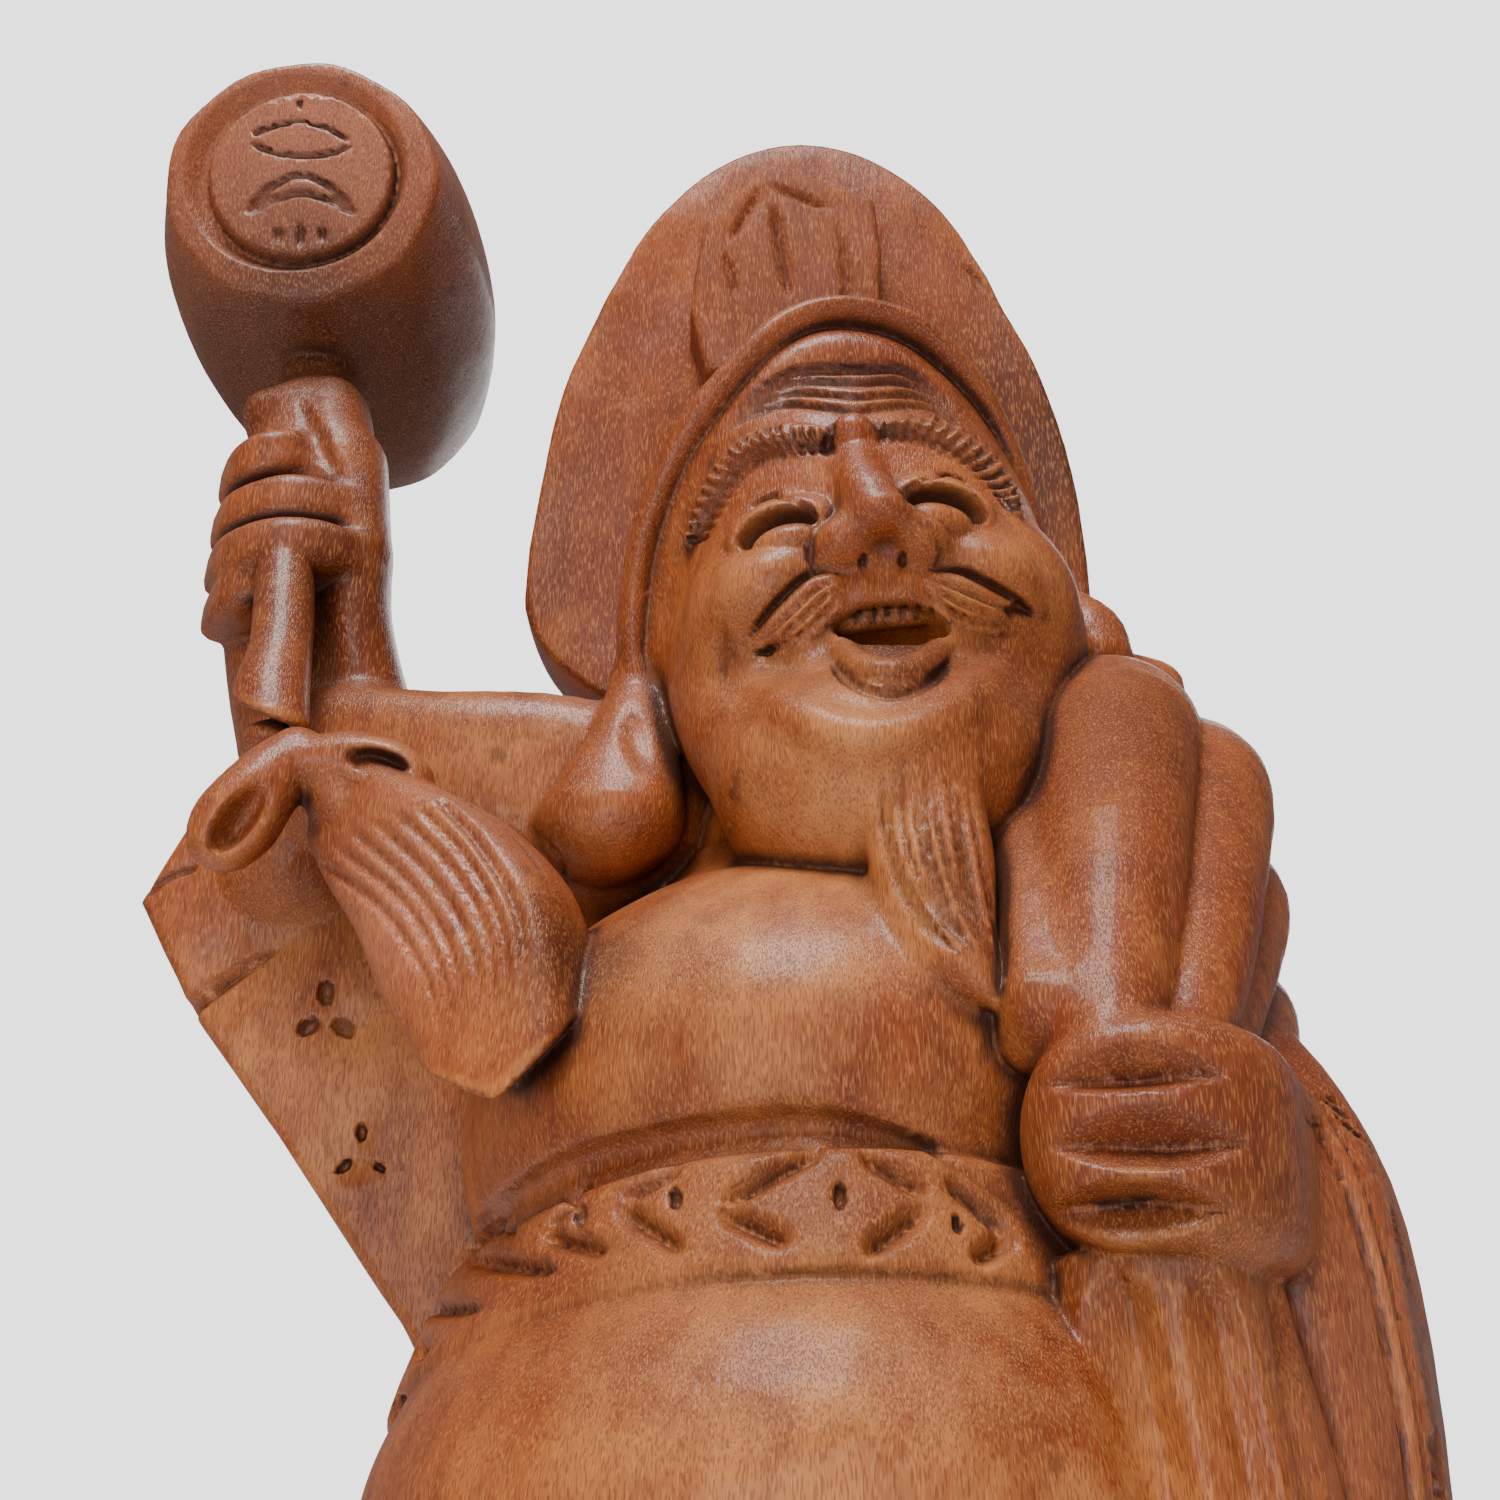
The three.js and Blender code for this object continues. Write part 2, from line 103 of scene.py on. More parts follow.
def window(low, high):
    """The grid lines inside a box, as one slice for each axis."""
    return tuple(
        slice(int(np.searchsorted(line, lo)), int(np.searchsorted(line, hi, "right")))
        for line, lo, hi in zip(LINES, low, high)
    )


def overlap(one, other):
    """The window that two windows share."""
    starts = [max(a.start, b.start) for a, b in zip(one, other)]
    return tuple(slice(s, max(s, min(a.stop, b.stop))) for s, a, b in zip(starts, one, other))


def within(cut, outer):
    """A window counted from the first lines of an outer one."""
    return tuple(slice(a.start - b.start, a.stop - b.start) for a, b in zip(cut, outer))


def shape_of(cut):
    """How many grid lines a window has along each axis."""
    return [c.stop - c.start for c in cut]


def places(cut):
    """The coordinates of a window's lines, ready to be combined."""
    return np.ix_(*(line[c] for line, c in zip(LINES, cut)))


def soft_min(a, b, blend):
    """The lower of two distances, run together over a width."""
    if not blend:
        return np.minimum(a, b)
    near = np.maximum(blend - np.abs(a - b), 0)
    return np.minimum(a, b) - near * near / (4 * blend)


class Clay:
    """Wood as distances to its surface, below zero inside, on one window of the grid."""

    def __init__(self, low, high):
        self.cut = window(low, high)
        self.d = np.full(shape_of(self.cut), FAR, np.float32)

    def copy(self):
        other = Clay.__new__(Clay)
        other.cut, other.d = self.cut, self.d.copy()
        return other

    def layer(self, form, margin):
        """A form's own distances, and where they lie in this clay."""
        low = np.min([part[0] for part in form], 0) - margin
        high = np.max([part[1] for part in form], 0) + margin
        cut = overlap(window(low, high), self.cut)
        made = np.full(shape_of(cut), FAR, np.float32)
        for low, high, distance in form:
            own = overlap(window(low - margin, high + margin), cut)
            if min(shape_of(own)) > 0:
                here = within(own, cut)
                made[here] = np.minimum(made[here], distance(*places(own)))
        return within(cut, self.cut), made

    def add(self, form, blend=0.0, reach=REACH):
        here, made = self.layer(form, reach + blend)
        self.d[here] = soft_min(self.d[here], made, blend)
        return self

    def take(self, form, blend=0.0, reach=REACH):
        here, made = self.layer(form, reach + blend)
        self.d[here] = -soft_min(-self.d[here], made, blend)
        return self

    def join(self, other, blend=0.0):
        common = overlap(self.cut, other.cut)
        here = within(common, self.cut)
        self.d[here] = soft_min(self.d[here], other.d[within(common, other.cut)], blend)
        return self

    def at(self, points):
        """Distances at points, read between the grid lines."""
        found, share = [], []
        for axis, (line, cut) in enumerate(zip(LINES, self.cut)):
            own = line[cut]
            i = np.clip(np.searchsorted(own, points[:, axis]) - 1, 0, len(own) - 2)
            found.append(i)
            share.append(np.clip((points[:, axis] - own[i]) / (own[i + 1] - own[i]), 0, 1))
        total = np.zeros(len(points))
        for corner in np.ndindex(2, 2, 2):
            weight = np.prod([s if c else 1 - s for c, s in zip(corner, share)], 0)
            total += weight * self.d[tuple(i + c for i, c in zip(found, corner))]
        return total

    def normals(self, points, step=SLOPE_STEP):
        """Outward directions at points."""
        slope = [
            self.at(points + step * axis) - self.at(points - step * axis) for axis in np.eye(3)
        ]
        slope = np.stack(slope, 1)
        return slope / np.maximum(np.linalg.norm(slope, axis=1), 1e-9)[:, None]

    def cast(self, starts, ways, reach=RAY_REACH):
        """Where rays from outside first meet the surface. Rays that miss are left out."""
        gone = np.zeros(len(starts))
        live = np.ones(len(starts), bool)
        while live.any():
            d = self.at(starts[live] + ways[live] * gone[live, None])
            inside = d < RAY_TOUCH
            gone[live] += np.where(inside, 0, np.clip(RAY_SHARE * d, RAY_LEAST, RAY_MOST))
            live[np.flatnonzero(live)[inside]] = False
            live &= gone < reach
        hit = gone < reach
        return (starts + ways * gone[:, None])[hit]

    def seen(self, drawn):
        """The surface under a line drawn on the glass."""
        starts, ways = through_glass(drawn)
        return self.cast(starts, ways)

    def facing(self, drawn, way, axes=(0, 2)):
        """The surface under a line drawn on two axes, x and z at first, and thrown along a way."""
        way = unit(way)
        starts = np.zeros((len(drawn), 3))
        starts[:, list(axes)] = drawn
        third = ({0, 1, 2} - set(axes)).pop()
        starts[:, third] = -math.copysign(OUTSIDE, way[third])
        return self.cast(starts, np.repeat([way], len(drawn), 0), 2 * OUTSIDE)

    def groove(self, points, half, depth, ends=(0.2, 0.2), soft=0.3):
        """Cuts a round groove along points on the surface, or raises a bead if depth is below
        zero. It thins over the given shares of its length at its two ends."""
        if len(points) < 2:
            return
        deep = abs(depth)
        radius = (half**2 + deep**2) / (2 * deep) * thinning(points, ends)
        rise = (1 - 2 * deep**2 / (half**2 + deep**2)) * radius
        centres = points + self.normals(points) * (math.copysign(1, depth) * rise)[:, None]
        stations = np.column_stack([centres, radius, radius])
        bar = [link(a, b, (0, -1, 0.1)) for a, b in zip(stations, stations[1:])]
        if depth > 0:
            self.take(bar, soft, CUT_REACH)
        else:
            self.add(bar, soft, CUT_REACH)

    def facet(self, points, half, depth, ends=(0.5, 0.5), lean=0.0):
        """Cuts two slanted faces that meet in a crease along points on the surface. A lean
        above zero widens the face to the right of the way along them."""
        if len(points) < 2:
            return
        normals, thin = self.normals(points), thinning(points, ends)
        skin = depth + FACET_SKIN
        margin = half * (1 + abs(lean)) + skin
        cut = overlap(window(points.min(0) - margin, points.max(0) + margin), self.cut)
        gain = np.zeros(shape_of(cut), np.float32)
        for i in range(len(points) - 1):
            a, b = points[i], points[i + 1]
            own = overlap(window(np.minimum(a, b) - margin, np.maximum(a, b) + margin), cut)
            if min(shape_of(own)) == 0:
                continue
            way, long = unit(b - a), max(np.linalg.norm(b - a), TINY)
            up = normals[i] + normals[i + 1]
            up = unit(up - (up @ way) * way)
            side = np.cross(way, up)
            x, y, z = (g - c for g, c in zip(places(own), a))
            along = way[0] * x + way[1] * y + way[2] * z
            across = side[0] * x + side[1] * y + side[2] * z
            height = up[0] * x + up[1] * y + up[2] * z
            share = np.clip(along / long, 0, 1)
            size = thin[i] + (thin[i + 1] - thin[i]) * share
            reach = half * size * (1 + lean * np.sign(across))
            off = np.sqrt(across**2 + (along - share * long) ** 2) / reach
            cover = np.where(np.abs(height) < skin, np.maximum(0, 1 - off) * size, 0)
            here = within(own, cut)
            gain[here] = np.maximum(gain[here], cover)
        self.d[within(cut, self.cut)] += depth * gain


# Geometry helpers

def thinning(points, ends):
    """Shares of the full size along a line that thins over a part of its length at each end."""
    run = np.append(0, np.cumsum(np.linalg.norm(np.diff(points, axis=0), axis=1)))
    run = run / max(run[-1], TINY)
    thin = np.ones(len(points))
    if ends[0]:
        thin *= np.sin(np.minimum(1, run / ends[0]) * math.pi / 2)
    if ends[1]:
        thin *= np.sin(np.minimum(1, (1 - run) / ends[1]) * math.pi / 2)
    return np.maximum(thin, THINNEST)


def unit(v):
    v = np.asarray(v, float)
    return v / max(np.linalg.norm(v), 1e-9)


def turn(x=0.0, y=0.0, z=0.0):
    """Rotation by degrees about x, then z, then y."""
    (cx, sx), (cy, sy), (cz, sz) = (
        (math.cos(math.radians(a)), math.sin(math.radians(a))) for a in (x, y, z)
    )
    about_x = np.array([[1, 0, 0], [0, cx, -sx], [0, sx, cx]])
    about_y = np.array([[cy, 0, sy], [0, 1, 0], [-sy, 0, cy]])
    about_z = np.array([[cz, -sz, 0], [sz, cz, 0], [0, 0, 1]])
    return about_y @ about_z @ about_x


def smooth(points, steps=4):
    """Rows along the smooth curve through a few rows."""
    rows = np.array(points, float)
    rows = np.vstack([2 * rows[0] - rows[1], rows, 2 * rows[-1] - rows[-2]])
    made = []
    for a, b, c, d in zip(rows, rows[1:], rows[2:], rows[3:]):
        for t in np.arange(steps) / steps:
            bend = 2 * a - 5 * b + 4 * c - d
            made.append((2 * b + (c - a) * t + bend * t**2 + (3 * b - a - 3 * c + d) * t**3) / 2)
    return np.array([*made, rows[-2]])


def through_glass(drawn):
    """Rays from the eye through points drawn on the glass, x to the right and y up."""
    right, up = np.array([1, 0, 0]), np.array([0, -PITCH_SIN, PITCH_COS])
    ahead = np.array([0, PITCH_COS, PITCH_SIN])
    drawn = np.asarray(drawn, float)
    ways = drawn[:, :1] * right + drawn[:, 1:2] * up + GLASS * ahead
    ways /= np.linalg.norm(ways, axis=1)[:, None]
    return EYE + ways * RAY_START, ways


def sighted(rows):
    """Stations on the sight lines of drawn x and y, at a depth y, of half width and depth."""
    rows = np.array(rows, float)
    starts, ways = through_glass(rows[:, :2])
    points = starts + ways * ((rows[:, 2] - starts[:, 1]) / ways[:, 1])[:, None]
    return np.column_stack([points, rows[:, 3:]])


def beyond(point, way, size=60.0):
    """All that lies beyond a plane through a sighted point, across a way drawn on the glass."""
    at = sighted([point])[0]
    out = unit((way[0], -PITCH_SIN * way[1], PITCH_COS * way[1]))

    def distance(x, y, z):
        return out[0] * (at[0] - x) + out[1] * (at[1] - y) + out[2] * (at[2] - z)

    return [(at - size, at + size, distance)]


def between(first, last, share):
    """A line part of the way from one line to another with as many points."""
    return np.array(first, float) * (1 - share) + np.array(last, float) * share


def mirrored(side, rows):
    """The same rows, on the right for a side of 1 and on the left for -1."""
    return [(side * row[0], *row[1:]) for row in rows]


# Forms: lists of (low corner, high corner, distance function)

def oval(places_along, radii, grow=1.0):
    """Distance to an oval, from places along its axes given as shares of its radii."""
    size = np.sqrt(sum(p * p for p in places_along)) / grow + TINY
    slope = np.sqrt(sum((p / r) ** 2 for p, r in zip(places_along, radii))) / grow + TINY
    return size * (size - 1) / slope


def egg(at, radii, tilt=None):
    """A ball stretched along its own axes."""
    at, radii = np.array(at, float), np.array(radii, float)
    tilt = np.eye(3) if tilt is None else tilt
    half = np.sqrt((tilt**2) @ radii**2)

    def distance(x, y, z):
        x, y, z = x - at[0], y - at[1], z - at[2]
        own = [(tilt[0, i] * x + tilt[1, i] * y + tilt[2, i] * z) / radii[i] for i in range(3)]
        return oval(own, radii)

    return [(at - half, at + half, distance)]


def link(a, b, facing, square=False):
    """A stretch of a limb between two stations of x, y, z, half width and half depth."""
    a, b = np.array(a, float), np.array(b, float)
    long = max(np.linalg.norm(b[:3] - a[:3]), TINY)
    way = (b[:3] - a[:3]) / long
    side = unit(np.cross(way, facing))
    out = np.cross(side, way)
    most = max(a[3:].max(), b[3:].max())

    def distance(x, y, z):
        x, y, z = x - a[0], y - a[1], z - a[2]
        along = way[0] * x + way[1] * y + way[2] * z
        share = np.clip(along / long, 0, 1)
        wide = a[3] + (b[3] - a[3]) * share
        deep = a[4] + (b[4] - a[4]) * share
        u = (side[0] * x + side[1] * y + side[2] * z) / wide
        v = (out[0] * x + out[1] * y + out[2] * z) / deep
        least = np.minimum(wide, deep)
        w = (along - share * long) / least
        if square:
            round_size = np.sqrt(u * u + v * v) + TINY
            grow = (u**4 + v**4) ** 0.25 / round_size
            u, v = u * grow, v * grow
        return oval((u, v, w), (wide, deep, least))

    return (np.minimum(a[:3], b[:3]) - most, np.maximum(a[:3], b[:3]) + most, distance)


def limb(stations, facing=(0, -1, 0), steps=4, square=False):
    """A rounded bar along the smooth curve through stations, with a squarish section if asked."""
    rows = smooth([(*s, s[3]) if len(s) == 4 else s for s in stations], steps)
    rows[:, 3:] = np.maximum(rows[:, 3:], LEAST_HALF)
    return [link(a, b, facing, square) for a, b in zip(rows, rows[1:])]


def stack(levels, wave=None, edge=2.0):
    """Level rings one above the other. A level is z, centre x and y, half width and depth."""
    rows = smooth(levels, 6)
    top, bottom = rows[-1][0], rows[0][0]
    reach = rows[:, 3:].max(0) * 1.1
    low = np.append((rows[:, 1:3] - reach).min(0), bottom)
    high = np.append((rows[:, 1:3] + reach).max(0), top)

    def distance(x, y, z):
        cx, cy, wide, deep = (
            np.interp(z, rows[:, 0], rows[:, i]).astype(np.float32) for i in range(1, 5)
        )
        u, v = (x - cx) / wide, (y - cy) / deep
        grow = wave(np.arctan2(v, u), z) if wave else 1.0
        return rounded(oval((u, v), (wide, deep), grow), np.maximum(bottom - z, z - top), edge)

    return [(low, high, distance)]


def rounded(a, b, edge):
    """The part inside both of two distances, with its edge rounded."""
    a, b = a + edge, b + edge
    outside = np.sqrt(np.maximum(a, 0) ** 2 + np.maximum(b, 0) ** 2)
    return np.minimum(np.maximum(a, b), 0) + outside - edge


def outline_distance(outline, x, z):
    """Distance to a closed outline in a plane, below zero inside."""
    best = np.full(np.broadcast(x, z).shape, 1e9)
    inside = np.zeros(best.shape, bool)
    for (ax, az), (bx, bz) in zip(outline, np.roll(outline, -1, 0)):
        dx, dz = bx - ax, bz - az
        share = np.clip(((x - ax) * dx + (z - az) * dz) / (dx * dx + dz * dz), 0, 1)
        best = np.minimum(best, (x - ax - share * dx) ** 2 + (z - az - share * dz) ** 2)
        crosses = (az > z) != (bz > z)
        if abs(dz) > 1e-9:
            inside ^= crosses & (x < ax + (z - az) * dx / dz)
    return np.where(inside, -1, 1) * np.sqrt(best)


def plate(outline, front, back, edge):
    """A board with that outline in x and z, from y = front to back."""
    outline = np.array(outline, float)
    low, high = outline.min(0), outline.max(0)

    def distance(x, y, z):
        flat = outline_distance(outline, x[:, 0, :], z[0, 0, :][None, :]).astype(np.float32)
        return rounded(flat[:, None, :], np.maximum(front - y, y - back), edge)

    return [(np.array([low[0], front, low[1]]), np.array([high[0], back, high[1]]), distance)]


TURNED_EDGE = 1.2


def turned(at, axis, radius, long, most, front=None, back=None):
    """A turned body: radius(along, angle) about an axis, with its ends at 0 and long.
    front and back(off, across, height) say how deep its ends are cut."""
    at, axis = np.array(at, float), unit(axis)
    right = unit(np.cross(axis, (0, 0, 1)))
    up = np.cross(right, axis)
    corners = np.array([at - most, at + most, at + axis * long - most, at + axis * long + most])

    def distance(x, y, z):
        x, y, z = x - at[0], y - at[1], z - at[2]
        along = axis[0] * x + axis[1] * y + axis[2] * z
        across = right[0] * x + right[1] * y + right[2] * z
        height = up[0] * x + up[1] * y + up[2] * z
        off = np.sqrt(across**2 + height**2)
        wall = off - radius(along, np.arctan2(height, across))
        first = front(off, across, height) if front else 0.0
        last = back(off, across, height) if back else 0.0
        return rounded(wall, np.maximum(first - along, along - long + last), TURNED_EDGE)

    return [(corners.min(0), corners.max(0), distance)]


# Base and bales

BASE_WIDTH, BASE_DEPTH, BASE_HEIGHT = 232.0, 196.0, 14.0
BASE_CORNER, BASE_EDGE = 22.0, 2.2
BALE_RADIUS, BALE_LENGTH, BALE_X, BALE_Z = 52.0, 184.0, 50.5, 60.0


def base():
    """A low board with round corners."""
    half = np.array([BASE_WIDTH, BASE_DEPTH]) / 2
    foot = SOLE_DROP

    def distance(x, y, z):
        u = np.abs(x) - half[0] + BASE_CORNER
        v = np.abs(y) - half[1] + BASE_CORNER
        side = np.sqrt(np.maximum(u, 0) ** 2 + np.maximum(v, 0) ** 2) - BASE_CORNER
        side = side + np.minimum(np.maximum(u, v), 0)
        return rounded(side, np.maximum(foot - z, z - foot - BASE_HEIGHT), BASE_EDGE)

    return [(np.array([-half[0], -half[1], foot]), np.array([*half, foot + BASE_HEIGHT]), distance)]


def bale(side):
    """A straw bale that lies front to back, bound with three pairs of twisted rope."""
    half = BALE_LENGTH / 2
    straws, strands = 56, 34

    def radius(along, angle):
        place = along - half
        girth = BALE_RADIUS * (1 - 0.13 * (place / half) ** 2)
        straw = 0.9 * (1 - np.abs(np.sin(straws / 2 * angle + 0.4 * np.sin(place / 9)))) ** 2
        rope = 0.0
        for share in (-0.6, 0, 0.6):
            off = place - share * half
            rope = rope + np.abs(np.sin(np.clip(off / 7, -1, 1) * math.pi)) * (
                2.6 + 0.5 * np.sin(strands * angle + off * 0.9)
            )
        return girth - np.where(rope > 0, 0, straw) + rope

    def dish(off, across, height):
        rim = np.clip((BALE_RADIUS * 0.69 - off) / 5, 0, 1)
        ring = 0.7 * np.cos(off * 1.1) ** 2
        spoke = 0.5 * np.abs(np.sin(12 * np.arctan2(height, across)))
        return rim * (4 + ring) + (1 - rim) * spoke

    at = (side * BALE_X, -half, BALE_Z + SOLE_DROP)
    return turned(at, (0, 1, 0), radius, BALE_LENGTH, BALE_RADIUS + 4, dish, dish)


# Body

def body(wood):
    """Belly, chest that blouses over the sash, neck, skirt with folds, baggy legs and boots."""
    wood.add(egg((0, -10, 186), (84, 91.5, 64)))
    robe = Clay((-90, -95, 180), (90, 95, 362))
    robe.add(egg((0, -4, 262), (71, 75.5, 57)))
    robe.add(limb([(6, 6, 300, 40, 38), (8, 10, 352, 40, 34)], steps=1), 16)
    wood.join(robe, 2)

    def folds(angle, z):
        depth = 0.008 + 0.04 * np.clip((190 - z) / 50, 0, 1)
        return 1 + depth * np.sin(8 * angle + 1.2 * np.sin(2 * angle) + math.pi / 2)

    wood.add(stack([(134, 0, 2, 84, 76), (158, 0, 0, 82, 76), (215, 0, 0, 66, 66)], folds, 3), 2)
    wood.add(stack([(58, 0, 4, 22, 42), (100, 0, 4, 30, 44), (152, 0, 2, 52, 52)]), 3)
    for side in (-1, 1):
        leg = [(36, -12, 100, 21), (37, -12, 120, 30), (38, -8, 152, 31)]
        wood.add(limb(mirrored(side, leg)), 2)
        wood.add(egg((side * 38, -46, 113), (19, 35, 14), turn(z=side * 12)), 2)


SASH_WIDE, SASH_DEEP, SASH_BACK = 71.5, 79.2, 4.0
SASH_HEIGHT, SASH_DROP, SASH_FLARE = 234.0, 15.0, 0.35
SASH_HALF, SASH_DEPTH, SASH_EDGE = 10.5, 30.0, 2.2


def sash_section(drop, rise):
    """Half width and half depth of the sash, where it hangs by drop, rise above its middle."""
    wide = SASH_WIDE + 0.5 * drop - SASH_FLARE * rise
    deep = SASH_DEEP - 0.1 * drop - SASH_FLARE * rise
    return wide, deep


def sash_point(angle, rise):
    """A point of the sash, at an angle from the front, counted towards +x."""
    drop = SASH_DROP * (1 - math.cos(angle))
    wide, deep = sash_section(drop, rise)
    back = -SASH_BACK - math.cos(angle) * deep
    return np.array([math.sin(angle) * wide, back, SASH_HEIGHT - drop + rise])


def sash():
    """A band round the waist that hangs lower behind."""
    def distance(x, y, z):
        angle = np.arctan2(x / (SASH_WIDE + 3.5), -(y + SASH_BACK) / (SASH_DEEP + 3.8))
        drop = SASH_DROP * (1 - np.cos(angle))
        rise = z - SASH_HEIGHT + drop
        wide, deep = sash_section(drop, rise)
        out = oval((x / wide, (y + SASH_BACK) / deep), (wide, deep))
        out = np.maximum(out, -out - SASH_DEPTH)
        return rounded(out, np.abs(rise) - SASH_HALF, SASH_EDGE)

    return [(np.array([-92, -90, 190]), np.array([92, 84, 248]), distance)]


# Head

HEAD_AT = np.array([12.0, -12.0, 376.0])
HEAD_TURN = turn(6, -7, 4)


def head_egg(at, radii, tilt=None):
    """An egg placed and turned with the head."""
    tilt = HEAD_TURN if tilt is None else HEAD_TURN @ tilt
    return egg(HEAD_TURN @ np.array(at, float) + HEAD_AT, radii, tilt)


def axes_on(normal, slant=0.0):
    """Axes of a form laid on a surface: along it, out of it and up it, slanted by degrees."""
    out = unit(normal)
    right = unit(np.cross((0, 0, 1), out))
    up = np.cross(out, right)
    c, s = math.cos(math.radians(slant)), math.sin(math.radians(slant))
    return np.stack([c * right + s * up, out, c * up - s * right], 1)


def set_in(wood, drawn, rise, radii, slant=0.0):
    """An egg set in the surface under one drawn point, rise above it."""
    point = wood.seen([drawn])[0]
    normal = wood.normals(point[None])[0]
    return egg(point + normal * rise, radii, axes_on(normal, slant))


def laid(wood, rows, steps=4):
    """A limb laid on the surface. A row is drawn x and y, rise, half width and half depth."""
    rows = smooth(rows, steps)
    points = wood.seen(rows[:, :2])
    if len(points) < len(rows):
        raise ValueError("part of a laid limb is drawn beside the wood")
    normals = wood.normals(points)
    points = points + normals * rows[:, 2:3]
    stations = np.column_stack([points, np.maximum(rows[:, 3:], LEAST_LAID)])
    facing = unit(normals.mean(0))
    return [link(a, b, facing) for a, b in zip(stations, stations[1:])]


BROW_LEFT = [(-5.8, 20.3), (-4.2, 24.4), (-2.1, 28.0), (0.6, 30.2), (4.2, 30.9), (8.0, 31.0)]
BROW_RIGHT = [(13.2, 32.0), (16.6, 32.2), (20.0, 31.0), (23.0, 28.8), (25.2, 25.8), (26.2, 23.8)]
MOUSTACHE_LEFT = [(9.5, 16.8), (7.6, 15.5), (4.9, 12.9), (2.2, 10.9), (-1.1, 9.8)]
MOUSTACHE_RIGHT = [(17.3, 17.3), (19.5, 15.6), (22.1, 14.3), (25.6, 13.3), (29.2, 13.1)]
BROW_HALF = (0.7, 3.4, 4.4, 4.7, 4.3, 2.2)
LEAF_HALF = (1.6, 4.9, 5.4, 4.0, 0.4)
LEAF_SWELL = np.array(LEAF_HALF) / 2.1  # the same half widths as lengths on the glass


def head():
    """The bare head, before its features: a broad laughing face that fills the hood."""
    wood = Clay((-62, -95, 285), (86, 60, 480))
    wood.add(head_egg((0, 0, 0), (44, 48, 68)))
    for side in (-1, 1):
        wood.add(head_egg((side * 22, -27, -6), (19, 17, 19)), 9)
    wood.add(head_egg((-8, -37, -49), (31, 28, 28)), 12)
    for jaw in (
        [(-3.4, 8.0, -22, 9, 9), (-1.6, 1.5, -34, 10, 12), (3.0, -3.0, -48, 10, 12)],
        [(29.4, 10.0, -20, 7, 9), (27.4, 4.0, -32, 9, 11), (23.0, -1.5, -46, 9, 12)],
    ):
        wood.add(limb(sighted(jaw)), 10)
    return wood.add(limb(sighted(HAIRLINE)), 9)


def cheeks(wood, skin):
    """Cheeks that bulge, and the hollow and ledge that the laugh leaves round the mouth."""
    wood.add(set_in(skin, (1.2, 16.8), -4.4, (12, 8, 8.5), 30), 4)
    wood.add(set_in(skin, (24.9, 18.0), -4.2, (11, 8, 8), -25), 4)
    wood.take(set_in(skin, (14.0, 9.2), 7.0, (35, 12.5, 16), 3), 1.5)
    ledge = [(-1.6, 9.4, 1.5), (1.4, 6.0, 3.6), (4.9, 3.4, 4.8), (8.6, 1.7, 5.2), (12.4, 1.0, 5.4)]
    ledge += [(16.2, 1.6, 5.2), (20.0, 3.6, 4.8), (23.6, 6.6, 4.2), (27.6, 11.0, 2.0)]
    wood.add(laid(skin, [(x, y, -2.8, half, half + 0.4) for x, y, half in ledge]), 4)


def hollows(wood, skin):
    """Hollows under the brows."""
    left = [(-4.4, 21.0, 1.6), (-2.0, 24.0, 2.8), (0.6, 26.8, 4.0), (4.2, 27.8, 4.8), (7.4, 27.0, 4.8)]
    right = [(13.8, 25.6, 4.0), (15.0, 28.2, 5.0), (18.4, 28.6, 5.0), (22.0, 26.6, 3.8), (25.4, 23.2, 2.0)]
    for hollow, rise, more in ((left, -0.6, 1.2), (right, -0.8, 1.4)):
        wood.take(laid(skin, [(x, y, rise, half, half + more) for x, y, half in hollow]), 1)


def nose(wood, skin):
    """Bridge, tip and wings."""
    made = skin.copy()
    bridge = [(10.6, 30.6, -2.5, 4.2, 4.0), (10.9, 27.4, -0.6, 4.6, 5.0), (12.0, 24.4, 1.6, 6.2, 6.2)]
    made.add(laid(skin, bridge), 3)
    made.add(set_in(skin, (13.0, 22.6), 3.6, (6.4, 6.0, 5.0)), 2)
    made.add(set_in(skin, (9.3, 20.4), 0.4, (5.6, 5.8, 5.0), 25), 5)
    made.add(set_in(skin, (17.0, 20.8), 0.4, (5.2, 5.8, 5.0), -25), 5)
    wood.join(made, 1.5)


def brows(wood, skin):
    """Thick brows and the boss between them."""
    for line in (BROW_LEFT, BROW_RIGHT):
        rows = [(x, y, 0.1, half, 2.9) for (x, y), half in zip(line, BROW_HALF)]
        wood.add(laid(skin, rows), 0.4)
    wood.add(set_in(skin, (10.3, 31.7), 0.2, (4.4, 3.8, 4.4)), 1.2)


def eyes(wood, skin):
    """Each a mound with an opening, and a ball that rises from below."""
    for mound, opening, ball, slant in (
        ((2.8, 22.6), (2.7, 21.6), (3.7, 20.8), 8),
        ((19.4, 24.5), (19.6, 23.9), (18.9, 22.9), -4),
    ):
        wood.add(set_in(skin, mound, -2.4, (12.6, 6.6, 8.0), slant), 0.3)
        wood.take(set_in(skin, opening, 2.6, (9.2, 6.4, 3.9), slant), 0.3)
        wood.add(set_in(skin, ball, -1.0, (7.6, 4.4, 4.2), slant), 0.2)


